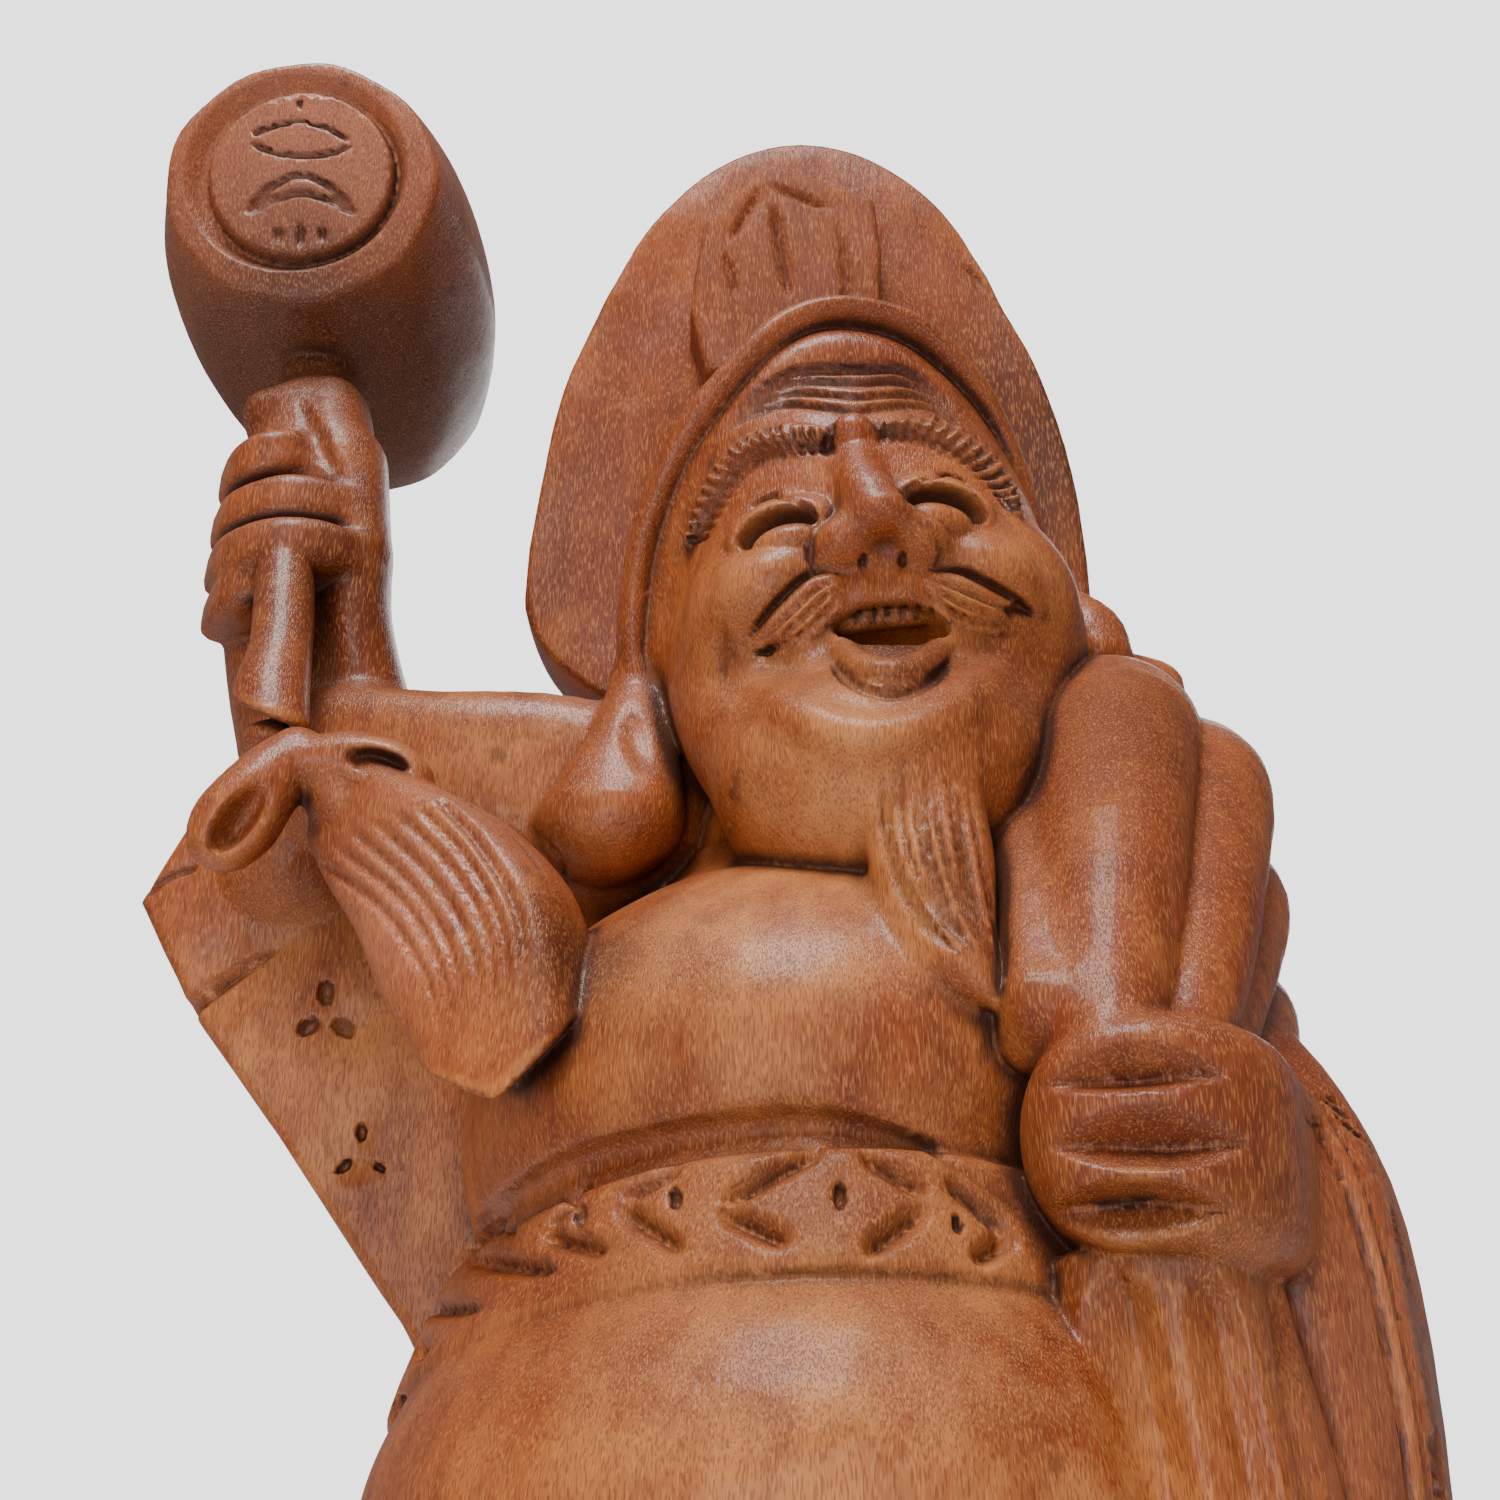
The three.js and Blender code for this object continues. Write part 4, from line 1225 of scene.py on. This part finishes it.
SASH_CUTS = (
    ((-3.4, -45.5), (6.8, -39.7)),
    ((11.0, -40.2), (18.0, -44.6)),
    ((-3.4, -45.9), (4.4, -49.4)),
    ((17.8, -45.6), (11.2, -50.6)),
    ((-12.9, -44.8), (-6.8, -41.4)),
    ((-13.6, -45.6), (-6.2, -50.3)),
    ((-21.4, -47.8), (-15.8, -43.1)),
    ((-21.4, -48.2), (-14.0, -50.2)),
    ((-28.0, -50.4), (-23.2, -45.4)),
    ((-28.2, -50.9), (-19.0, -51.9)),
    ((19.4, -42.8), (26.4, -48.5)),
    ((26.4, -48.7), (22.4, -51.0)),
    ((-32.4, -55.8), (-26.0, -55.7)),
    ((-35.6, -60.5), (-32.0, -60.0)),
    ((-36.8, -67.6), (-34.6, -65.4)),
)
# Middle and half height of the seeds inside the lozenges
SASH_SEEDS = (
    (9.0, -44.6, 1.6),
    (-7.5, -44.8, 1.3),
    (-17.1, -46.5, 1.2),
    (-23.9, -48.1, 1.1),
    (20.7, -47.4, 1.4),
)


def carve_sash(wood):
    """A row of lozenges and chevrons, each side a cut that swells in the middle."""
    over = [(-27.6, -47.4), (-19.0, -42.4), (-11.0, -39.8), (-2.0, -38.2)]
    over += [(6.8, -37.6), (14.0, -38.8), (20.0, -41.2), (26.4, -45.6)]
    cut_seen(wood, over, 3.2, 2.8, (0.4, 0.4), 1.6)
    for a, b in SASH_CUTS:
        facet_seen(wood, straight(a, b), 2.4, 3.4, (0.25, 0.25))
    for x, y, tall in SASH_SEEDS:
        cut_seen(wood, [(x + 0.1, y - tall), (x, y), (x - 0.1, y + tall)], 1.2, 2.0, (0.5, 0.5))
    for degrees in range(100, 262, 20):
        angle = math.radians(degrees)
        for side in (-1, 1):
            chevron = [(side * math.radians(away), rise) for away, rise in ((1, 7), (6, 0), (1, -7))]
            line = np.array([sash_point(angle + away, rise) for away, rise in chevron])
            wood.groove(line, 1.2, 1.4, (0.3, 0.3))


def carve_fist(wood):
    """The gaps between the fingers."""
    for a, b, half, lean in (
        ((29.2, -33.6), (48.2, -32.3), 4.29, -0.4),
        ((29.7, -39.7), (50.2, -39.5), 5.17, -0.08),
        ((29.9, -46.4), (48.4, -46.0), 4.95, 0.08),
    ):
        middle = (np.array(a) + b) / 2 + (0, 0.5)
        facet_seen(wood, [a, middle, b], half, 5.8, (0.5, 0.5), lean)


def carve_tail_and_hem(wood):
    """Folds of the tail below the fist, and the hem's bead with its row of short strokes."""
    for line, half, depth in (
        ([(37.5, -52.8), (39.4, -63.0), (42.2, -76.0), (45.0, -98.0)], 6.0, 4.2),
        ([(46.7, -53.0), (49.0, -64.0), (51.4, -76.0), (53.6, -98.0)], 5.0, 3.6),
        ([(52.9, -53.4), (54.1, -62.6), (56.8, -76.0), (59.4, -100.0)], 4.2, 3.6),
    ):
        facet_seen(wood, line, half, depth, (0.08, 0.1), 0.3)
    bead = [(54.3, -32.6), (59.7, -42.4), (63.2, -53.9), (65.5, -65.4), (66.9, -78.0), (67.6, -104.0)]
    cut_seen(wood, bead, 1.3, -1.1, (0.1, 0.05))
    for side in (-0.9, 0.9):
        cut_seen(wood, beside(bead, side), 0.8, 0.9, (0.1, 0.05))
    band = [(57.4, -34.4), (62.6, -42.4), (65.5, -52.7), (67.4, -62.5), (69.0, -76.0), (70.0, -104.0)]
    band = smooth(band, 11)
    way = np.gradient(band, axis=0)
    for at, along in zip(band[1:-1], way[1:-1]):
        along = unit(along)
        across = np.array([-along[1], along[0]])
        cut_seen(wood, [at - across * 0.9, at, at + across * 0.9 + along * 0.4], 0.8, 1.2, (0.4, 0.4))


def carve_below(wood):
    """Skirt folds, hems, trouser creases and boots, plainer than what the photograph shows."""
    for x, lean_over in ((-58, -6), (-34, -3), (-12, 2), (12, -2), (30, 4)):
        line = [(x, 137), (x + lean_over * 0.5, 150), (x + lean_over, 166)]
        cut_facing(wood, line, BACKWARD, 3.5, 1.8, (0.0, 0.6), 1)
    for side in (-1, 1):
        for height in (112, 119, 127):
            line = [(side * 14, height + 3), (side * 38, height - 2), (side * 60, height + 4)]
            cut_facing(wood, line, BACKWARD, 2, 1.2, (0.4, 0.4), 0.6)
        sole = [(side * 22, 108.5), (side * 38, 107), (side * 56, 108.5)]
        cut_facing(wood, sole, BACKWARD, 0.9, 0.9)
        seam = [(side * 38, 109), (side * 38, 115), (side * 37, 122)]
        cut_facing(wood, seam, BACKWARD, 0.9, 0.8)


def carve_back(wood):
    """Long slack folds of the sack behind."""
    for x, sway in ((-30, -14), (-8, -6), (16, 4), (40, 12), (64, 16)):
        line = [(x + sway, 190), (x + 0.6 * sway, 240), (x + 8, 290), (0.6 * x + 30, 330)]
        cut_facing(wood, line, FORWARD, 6, 2.4, (0.4, 0.3), 3)


# The whole block

def face_block():
    """The head with its features, the cap's rolled brim and the ears."""
    face = features(head())
    face.add(limb(sighted(BRIM), steps=5), 1)
    ears(face)
    return face


def waves(line, pitch):
    """Weights that read smooth noise, drawn at a pitch, at the lines of one axis."""
    place = (line - line[0]) / pitch
    first = place.astype(int)
    t = place - first
    weights = np.zeros((len(line), first[-1] + 4), np.float32)
    rows = np.arange(len(line))
    inner = (3 * t**3 - 6 * t**2 + 4, -3 * t**3 + 3 * t**2 + 3 * t + 1)
    for i, w in enumerate(((1 - t) ** 3, *inner, t**3)):
        weights[rows, first + i] = w / 6
    return weights


MARKS = ((17.0, 0.5), (7.0, 0.2))  # pitch and depth of the coarse and the fine unevenness
MARKS_SEED = 11
MARKS_LOW, MARKS_FULL = 4.0, 16.0  # heights between which they set in, above a flat sole


def tool_marks(wood):
    """The slight unevenness that gouge and sandpaper leave all over."""
    rng = np.random.default_rng(MARKS_SEED)
    fade = np.clip((LINES[2] - MARKS_LOW) / (MARKS_FULL - MARKS_LOW), 0, 1)
    for pitch, depth in MARKS:
        across, deep, up = (waves(line, pitch) for line in LINES)
        noise = rng.standard_normal([weights.shape[1] for weights in (across, deep, up)])
        noise = np.matmul(deep, noise.astype(np.float32) @ up.T)
        wood.d += depth * fade * np.tensordot(across, noise, (1, 0))


def kept_to_size(wood):
    """Planes off what the tool marks push past the size of the solid. The sole stays as it is."""
    low = np.array(CAD_BOX[0]) / MM + (SPARE, SPARE, -FAR)
    high = np.array(CAD_BOX[1]) / MM + (-SPARE, -SPARE, SOLE_DROP - SPARE)
    for axis, line in enumerate(LINES):
        out = np.maximum(low[axis] - line, line - high[axis]).astype(np.float32)
        near = np.flatnonzero(out > -REACH)
        here = tuple(near if i == axis else slice(None) for i in range(3))
        out = out[near].reshape([-1 if i == axis else 1 for i in range(3)])
        wood.d[here] = -soft_min(-wood.d[here], -out, 1.0)


def carved_block():
    """All forms run together in one block, then cut."""
    wood = Clay(GRID_LOW, GRID_HIGH)
    body(wood)
    wood.add(sash(), 1.5)
    wood.join(cap(), 1)
    wood.join(face_block(), 1)
    beard(wood)
    wood.add(hanging_sleeve(), 1.5)
    wood.join(raised_arm(), 1.5)
    wood.add(mallet(), 1.5)
    wood.join(sack(), 1)
    wood.join(lowered_arm(), 1)
    wood.join(tassel(), 1)
    wood.join(bow(), 1)
    wood.add(base())
    for side in (-1, 1):
        wood.add(bale(side), 0.5)
    for carve in (
        carve_face,
        carve_beard,
        carve_cap,
        carve_mallet,
        carve_hand,
        carve_cord,
        carve_sleeve,
        carve_sash,
        carve_fist,
        carve_tail_and_hem,
        carve_below,
        carve_back,
    ):
        carve(wood)
    tool_marks(wood)
    kept_to_size(wood)
    return wood


# Mesh

def mesh_of(name, points, faces):
    """A mesh whose faces all have the same number of corners."""
    mesh = bpy.data.meshes.new(name)
    mesh.vertices.add(len(points))
    mesh.vertices.foreach_set("co", points.astype(np.float32).ravel())
    mesh.loops.add(faces.size)
    mesh.loops.foreach_set("vertex_index", faces.astype(np.int32).ravel())
    mesh.polygons.add(len(faces))
    corners = faces.shape[1]
    mesh.polygons.foreach_set("loop_start", np.arange(len(faces), dtype=np.int32) * corners)
    mesh.update(calc_edges=True)
    return mesh


def skin_of(wood):
    """The surface as triangles, in millimetres."""
    volume = openvdb.FloatGrid(CLIP)
    volume.copyFromArray(np.clip(wood.d, -CLIP, CLIP))
    points, quads = volume.convertToQuads(0.0)
    points = np.stack(
        [np.interp(points[:, i], np.arange(len(line)), line) for i, line in enumerate(LINES)], 1
    )
    quads = quads.astype(np.int64)
    return points, np.concatenate([quads[:, [0, 1, 2]], quads[:, [0, 2, 3]]])


def main_piece(count, faces):
    """Which points belong to the piece that holds most of them."""
    a, b = faces.ravel(), np.roll(faces, 1, 1).ravel()
    label = np.arange(count)
    while True:
        low = np.minimum(label[a], label[b])
        new = label.copy()
        np.minimum.at(new, a, low)
        np.minimum.at(new, b, low)
        new = new[new]
        if (new == label).all():
            break
        label = new
    return label == np.bincount(label).argmax()


# Boxes of fine carving, as low and high corners, whose points are thinned last
FINE = (
    ((-40, -100, 285), (75, 0, 545)),
    ((-140, -75, 258), (-38, 0, 475)),
    ((-175, -30, 470), (-85, 0, 565)),
    ((-90, -105, 188), (121, -30, 262)),
)
FINE_WEIGHT, FINE_EXTRA = 0.5, 0.4


def thinned(points, faces, target):
    """The same surface with fewer triangles, and without loose crumbs."""
    mesh = mesh_of("dense", points, faces)
    dense = bpy.data.objects.new("dense", mesh)
    bpy.context.scene.collection.objects.link(dense)
    fine = np.zeros(len(points), bool)
    for low, high in FINE:
        fine |= ((points > low) & (points < high)).all(1)
    plain = dense.vertex_groups.new(name="plain")
    plain.add(np.flatnonzero(~fine).tolist(), 1.0, "REPLACE")
    plain.add(np.flatnonzero(fine).tolist(), FINE_WEIGHT, "REPLACE")
    fewer = dense.modifiers.new("fewer", "DECIMATE")
    fewer.ratio = min(1.0, target / len(faces))
    fewer.vertex_group = "plain"
    fewer.vertex_group_factor = FINE_EXTRA
    fewer.use_collapse_triangulate = True
    made = dense.evaluated_get(bpy.context.evaluated_depsgraph_get()).to_mesh()
    points = np.zeros(len(made.vertices) * 3, np.float32)
    made.vertices.foreach_get("co", points)
    faces = np.zeros(len(made.loops), np.int32)
    made.loops.foreach_get("vertex_index", faces)
    points, faces = points.reshape(-1, 3), faces.reshape(-1, 3)
    bpy.data.objects.remove(dense)
    keep = main_piece(len(points), faces)
    number = np.cumsum(keep) - 1
    return points[keep].astype(float), number[faces[keep[faces].all(1)]]


# Colour of the wood, as shares from 0 to 1 at each point of the mesh, painted shade, highlight and sheen
# among them

def spread(points, spots):
    """How strongly soft spots of (x, y, z, radius, strength) cover each point."""
    total = np.zeros(len(points))
    for x, y, z, radius, strength in spots:
        off = ((points - (x, y, z)) ** 2).sum(1) / radius**2
        total += strength * np.exp(-off)
    return np.clip(total, 0, 1)


# Paler patches of worn varnish on chest, belly, sleeve and back, and painted highlight on the cheeks
WEAR_AND_HIGHLIGHT = (
    (-10, -76, 292, 36, 0.9),
    (-5, -100, 200, 46, 0.9),
    (-100, 2, 275, 46, 0.8),
    (48, -88, 195, 30, 0.5),
    (2, -66, 322, 12, 1.0),
    (-16, -59, 360, 22, 0.5),
    (36, -59, 363, 22, 0.5),
    (-70, -16, 352, 24, 0.6),
    (20, 108, 270, 60, 0.4),
)
# Pinkish patches; the one on the mallet's front disc is painted sheen
ROSY_AND_SHEEN = ((-131, -14, 518, 34, 1.0), (-78, -48, 300, 26, 0.7), (0, -8, 500, 30, 0.4), (86, -60, 215, 28, 0.6))
# Painted shade: darker spots where shadow falls, on the mallet's barrel, under the raised hand and the bow,
# on the cap's turned-away side, the tassel's side, the sash, the shoulder and the mouth
PAINTED_SHADE = (
    (-131, 12, 486, 34, 0.8),
    (-131, 34, 500, 42, 1.0),
    (-131, 70, 505, 46, 1.0),
    (-110, -4, 390, 36, 0.6),
    (-14, 4, 450, 26, 0.3),
    (58, 3, 445, 46, 0.95),
    (-45, -62, 283, 13, 0.95),
    (58, -88, 232, 26, 0.5),
    (92, -40, 200, 30, 0.4),
    (12, -70, 337, 9, 0.35),
    (-104, -14, 312, 20, 0.7),
    (-6, -86, 236, 28, 0.4),
    (52, -58, 328, 36, 0.5),
    (-58, 3, 425, 45, 0.35),
    (-4, -12, 495, 38, 0.35),
    (13, -58, 349, 9, 1.0),
)
DULL = (
    (-44, 6, 470, 44, 1.0),
    (0, -8, 505, 40, 0.9),
    (50, 6, 460, 44, 1.0),
    (-131, 45, 496, 52, 1.0),
    (52, -56, 328, 50, 1.0),
    (0, -84, 234, 34, 0.7),
)


# Painted shade in creases and hollows: distances read out from the surface, where nearby wood would block
# the light
CREASE_SHADE_READINGS = ((0.8, 0.25), (1.8, 0.3), (3.6, 0.25), (7.0, 0.2))  # distance out and weight
EDGE_READING = 2.2  # distance in


def paint(mesh, wood, points, normals):
    """Stores the painted shade of creases, the edge, and the spots' values (worn patches with painted
    highlight, pinkish patches with painted sheen, painted shade, dullness) at each point, for the material
    to read.
    """
    # Painted shade: the nearer other wood lies outside a point, the darker its colour is painted
    crease_shade = np.zeros(len(points))
    for reach, weight in CREASE_SHADE_READINGS:
        crease_shade += weight * (1 - np.clip(wood.at(points + normals * reach) / reach, 0, 1))
    edge = 1 - np.clip(-wood.at(points - normals * EDGE_READING) / EDGE_READING, 0, 1)
    values = {"crease_shade": crease_shade, "edge": edge}
    for name, spots in (("wear_and_highlight", WEAR_AND_HIGHLIGHT), ("rosy_and_sheen", ROSY_AND_SHEEN), ("painted_shade", PAINTED_SHADE), ("dull", DULL)):
        values[name] = spread(points, spots)
    for name, value in values.items():
        layer = mesh.attributes.new(name, "FLOAT", "POINT")
        layer.data.foreach_set("value", value.astype(np.float32))


class Nodes:
    """Short ways to add and join the nodes of one material."""

    def __init__(self, material):
        material.use_nodes = True
        self.tree = material.node_tree
        self.shader = self.tree.nodes["Principled BSDF"]

    def add(self, kind, settings=None, **inputs):
        node = self.tree.nodes.new(kind)
        for key, value in (settings or {}).items():
            setattr(node, key, value)
        for key, value in inputs.items():
            self.put(node.inputs[key.replace("_", " ")], value)
        return node

    def put(self, socket, value):
        if isinstance(value, bpy.types.NodeSocket):
            self.tree.links.new(value, socket)
        else:
            socket.default_value = value

    def math(self, operation, a, b):
        node = self.add("ShaderNodeMath", {"operation": operation})
        self.put(node.inputs[0], a)
        self.put(node.inputs[1], b)
        return node.outputs[0]

    def part(self, value, share):
        return self.math("MULTIPLY", value, share)

    def mix(self, share, a, b):
        node = self.add("ShaderNodeMix", {"data_type": "RGBA"})
        self.put(node.inputs[0], share)
        self.put(node.inputs[6], a)
        self.put(node.inputs[7], b)
        return node.outputs[2]

    def share(self, value, low, high):
        """The value's place between low and high, from 0 to 1."""
        node = self.add("ShaderNodeMapRange", {"clamp": True}, Value=value)
        self.put(node.inputs["From Min"], low)
        self.put(node.inputs["From Max"], high)
        return node.outputs[0]

    def noise(self, place, stretch, detail=2.0, roughness=0.5, distortion=0.0):
        """Noise with features of the given sizes along x, y and z, in millimetres."""
        scale = tuple(1 / (MM * size) for size in stretch)
        mapped = self.add("ShaderNodeMapping", Vector=place, Scale=scale)
        made = self.add(
            "ShaderNodeTexNoise",
            Vector=mapped.outputs[0],
            Scale=1.0,
            Detail=detail,
            Roughness=roughness,
            Distortion=distortion,
        )
        return made.outputs["Fac"]

    def point(self, name):
        return self.add("ShaderNodeAttribute", {"attribute_name": name}).outputs["Fac"]


def colour(red, green, blue):
    """A colour given in sRGB from 0 to 255, as the shader takes it."""
    shares = [c / 255 for c in (red, green, blue)]
    return (*(c / 12.92 if c < 0.0405 else ((c + 0.055) / 1.055) ** 2.4 for c in shares), 1.0)


def varnished_wood():
    """Tropical wood with open pores, under a thin worn varnish. The grain runs upwards. Shade in creases
    and where shadow falls, a highlight on the cheeks and a sheen on the mallet's disc are painted into its
    colour.
    """
    material = bpy.data.materials.new("varnished_wood")
    n = Nodes(material)
    place = n.add("ShaderNodeTexCoord").outputs["Object"]
    broad = n.noise(place, (45, 45, 70), 3.0, 0.55)
    streak = n.noise(place, (5, 5, 60), 3.0, 0.6, 0.4)
    blotch = n.noise(place, (14, 14, 20), 4.0, 0.6)
    pores = n.noise(place, (0.3, 0.3, 2.2), 0.0)
    flecks = n.noise(place, (0.34, 0.34, 2.6), 0.0)
    stains = n.noise(place, (9, 9, 14), 3.0, 0.6)
    light = n.part(n.share(flecks, 0.55, 0.68), 0.34)
    dark = n.part(n.share(pores, 0.55, 0.68), 0.42)
    # Painted shade in creases and hollows, which also makes them rougher
    depth = n.share(n.point("crease_shade"), 0.15, 0.6)
    wear_and_highlight = n.math("MULTIPLY", n.point("wear_and_highlight"), n.share(blotch, 0.3, 0.6))

    tone = n.mix(n.share(broad, 0.35, 0.68), colour(126, 52, 17), colour(160, 78, 30))
    for share, paint_colour in (
        (n.part(n.share(streak, 0.42, 0.68), 0.6), (100, 36, 12)),
        (n.part(n.share(blotch, 0.5, 0.7), 0.5), (178, 98, 42)),
        # Paler worn patches, and painted highlight on the cheeks
        (n.part(wear_and_highlight, 0.75), (204, 132, 72)),
        # Pinkish patches, and painted sheen on the mallet's front disc
        (n.part(n.point("rosy_and_sheen"), 0.6), (188, 116, 90)),
        # Painted shade where shadow falls
        (n.part(n.point("painted_shade"), 0.85), (58, 27, 13)),
        (light, (206, 134, 76)),
        (dark, (84, 30, 10)),
        (n.part(n.share(stains, 0.66, 0.74), 0.5), (66, 32, 16)),
        (n.part(n.share(n.point("edge"), 0.25, 0.7), 0.3), (206, 130, 70)),
        # Painted shade in creases and hollows
        (n.part(depth, 0.88), (44, 14, 5)),
    ):
        tone = n.mix(share, tone, colour(*paint_colour))
    n.put(n.shader.inputs["Base Color"], tone)

    dull = n.point("dull")
    rough = n.math("ADD", 0.42, n.part(n.share(blotch, 0.35, 0.7), 0.16))
    rough = n.math("ADD", rough, n.part(depth, 0.2))
    n.put(n.shader.inputs["Roughness"], n.math("ADD", rough, n.part(dull, 0.25)))
    n.put(n.shader.inputs["Coat Weight"], n.math("SUBTRACT", 0.28, n.part(dull, 0.26)))
    n.put(n.shader.inputs["Coat Roughness"], 0.17)
    n.put(n.shader.inputs["Specular IOR Level"], 0.22)

    height = n.math("SUBTRACT", n.part(light, 0.5), dark)
    height = n.math("ADD", height, n.part(n.noise(place, (2.2, 2.2, 7), 2.0), 0.8))
    bump = n.add("ShaderNodeBump", Strength=0.5, Distance=0.25 * MM, Height=height)
    n.put(n.shader.inputs["Normal"], bump.outputs[0])
    n.put(n.shader.inputs["Coat Normal"], bump.outputs[0])
    return material


def figure():
    """The one piece: carved, turned into a mesh, painted and tied to the part."""
    wood = carved_block()
    points, faces = thinned(*skin_of(wood), TRIANGLES)
    normals = wood.normals(points, SHADING_STEP)
    mesh = mesh_of("daikoku", (points - (0, 0, SOLE_DROP)) * MM, faces)
    mesh.polygons.foreach_set("use_smooth", np.ones(len(faces), bool))
    mesh.normals_split_custom_set_from_vertices(normals)
    paint(mesh, wood, points, normals)
    mesh.materials.append(varnished_wood())
    piece = bpy.data.objects.new("carved_daikoku", mesh)
    bpy.context.scene.collection.objects.link(piece)
    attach(piece, "root")
    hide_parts("daikoku_figure")


# Studio

FLOOR_HALF = 6.0
SKY_LIGHT, SKY_SEEN = 0.28, 2.5  # strength of the sky as a light, and as the backdrop
# Name, place, what it aims at, size in metres and watts
LIGHTS = (
    ("key", (-0.2, -0.75, 1.75), (0, -0.05, 0.3), 0.7, 34),
    ("front", (-0.35, -1.3, 0.3), (0, 0, 0.3), 0.8, 8),
    ("back", (0.3, 1.3, 1.1), (0, 0, 0.35), 0.8, 8),
)


def floor():
    material = bpy.data.materials.new("pale_floor")
    nodes = Nodes(material)
    nodes.put(nodes.shader.inputs["Base Color"], (0.8, 0.8, 0.8, 1))
    nodes.put(nodes.shader.inputs["Roughness"], 0.9)
    corners = FLOOR_HALF * np.array([(-1, -1, 0), (1, -1, 0), (1, 1, 0), (-1, 1, 0)])
    made = bpy.data.objects.new("floor", mesh_of("floor", corners, np.array([[0, 1, 2, 3]])))
    made.data.materials.append(material)
    bpy.context.scene.collection.objects.link(made)


def sky():
    """An even sky that is seen brighter than it shines."""
    world = bpy.data.worlds.new("studio")
    world.use_nodes = True
    nodes, links = world.node_tree.nodes, world.node_tree.links
    nodes["Background"].inputs["Color"].default_value = (0.985, 0.99, 1.0, 1)
    ray = nodes.new("ShaderNodeLightPath")
    strength = nodes.new("ShaderNodeMapRange")
    strength.inputs["To Min"].default_value = SKY_LIGHT
    strength.inputs["To Max"].default_value = SKY_SEEN
    links.new(ray.outputs["Is Camera Ray"], strength.inputs["Value"])
    links.new(strength.outputs[0], nodes["Background"].inputs["Strength"])
    bpy.context.scene.world = world


def lights():
    """A broad soft light above, and weaker ones in front and behind."""
    for name, at, aim, size, power in LIGHTS:
        light = bpy.data.lights.new(name, "AREA")
        light.size = size
        light.energy = power
        lamp = bpy.data.objects.new(name, light)
        lamp.location = at
        lamp.rotation_mode = "QUATERNION"
        lamp.rotation_quaternion = (Vector(aim) - Vector(at)).to_track_quat("-Z", "Y")
        bpy.context.scene.collection.objects.link(lamp)


def camera():
    data = bpy.data.cameras.new("camera")
    data.lens = LENS
    data.sensor_width = SENSOR
    data.clip_start = 0.01
    made = bpy.data.objects.new("camera", data)
    made.location = (EYE - (0, 0, SOLE_DROP)) * MM
    made.rotation_euler = (math.radians(90 + PITCH), 0, 0)
    bpy.context.scene.collection.objects.link(made)
    bpy.context.scene.camera = made


camera()
figure()
floor()
sky()
lights()
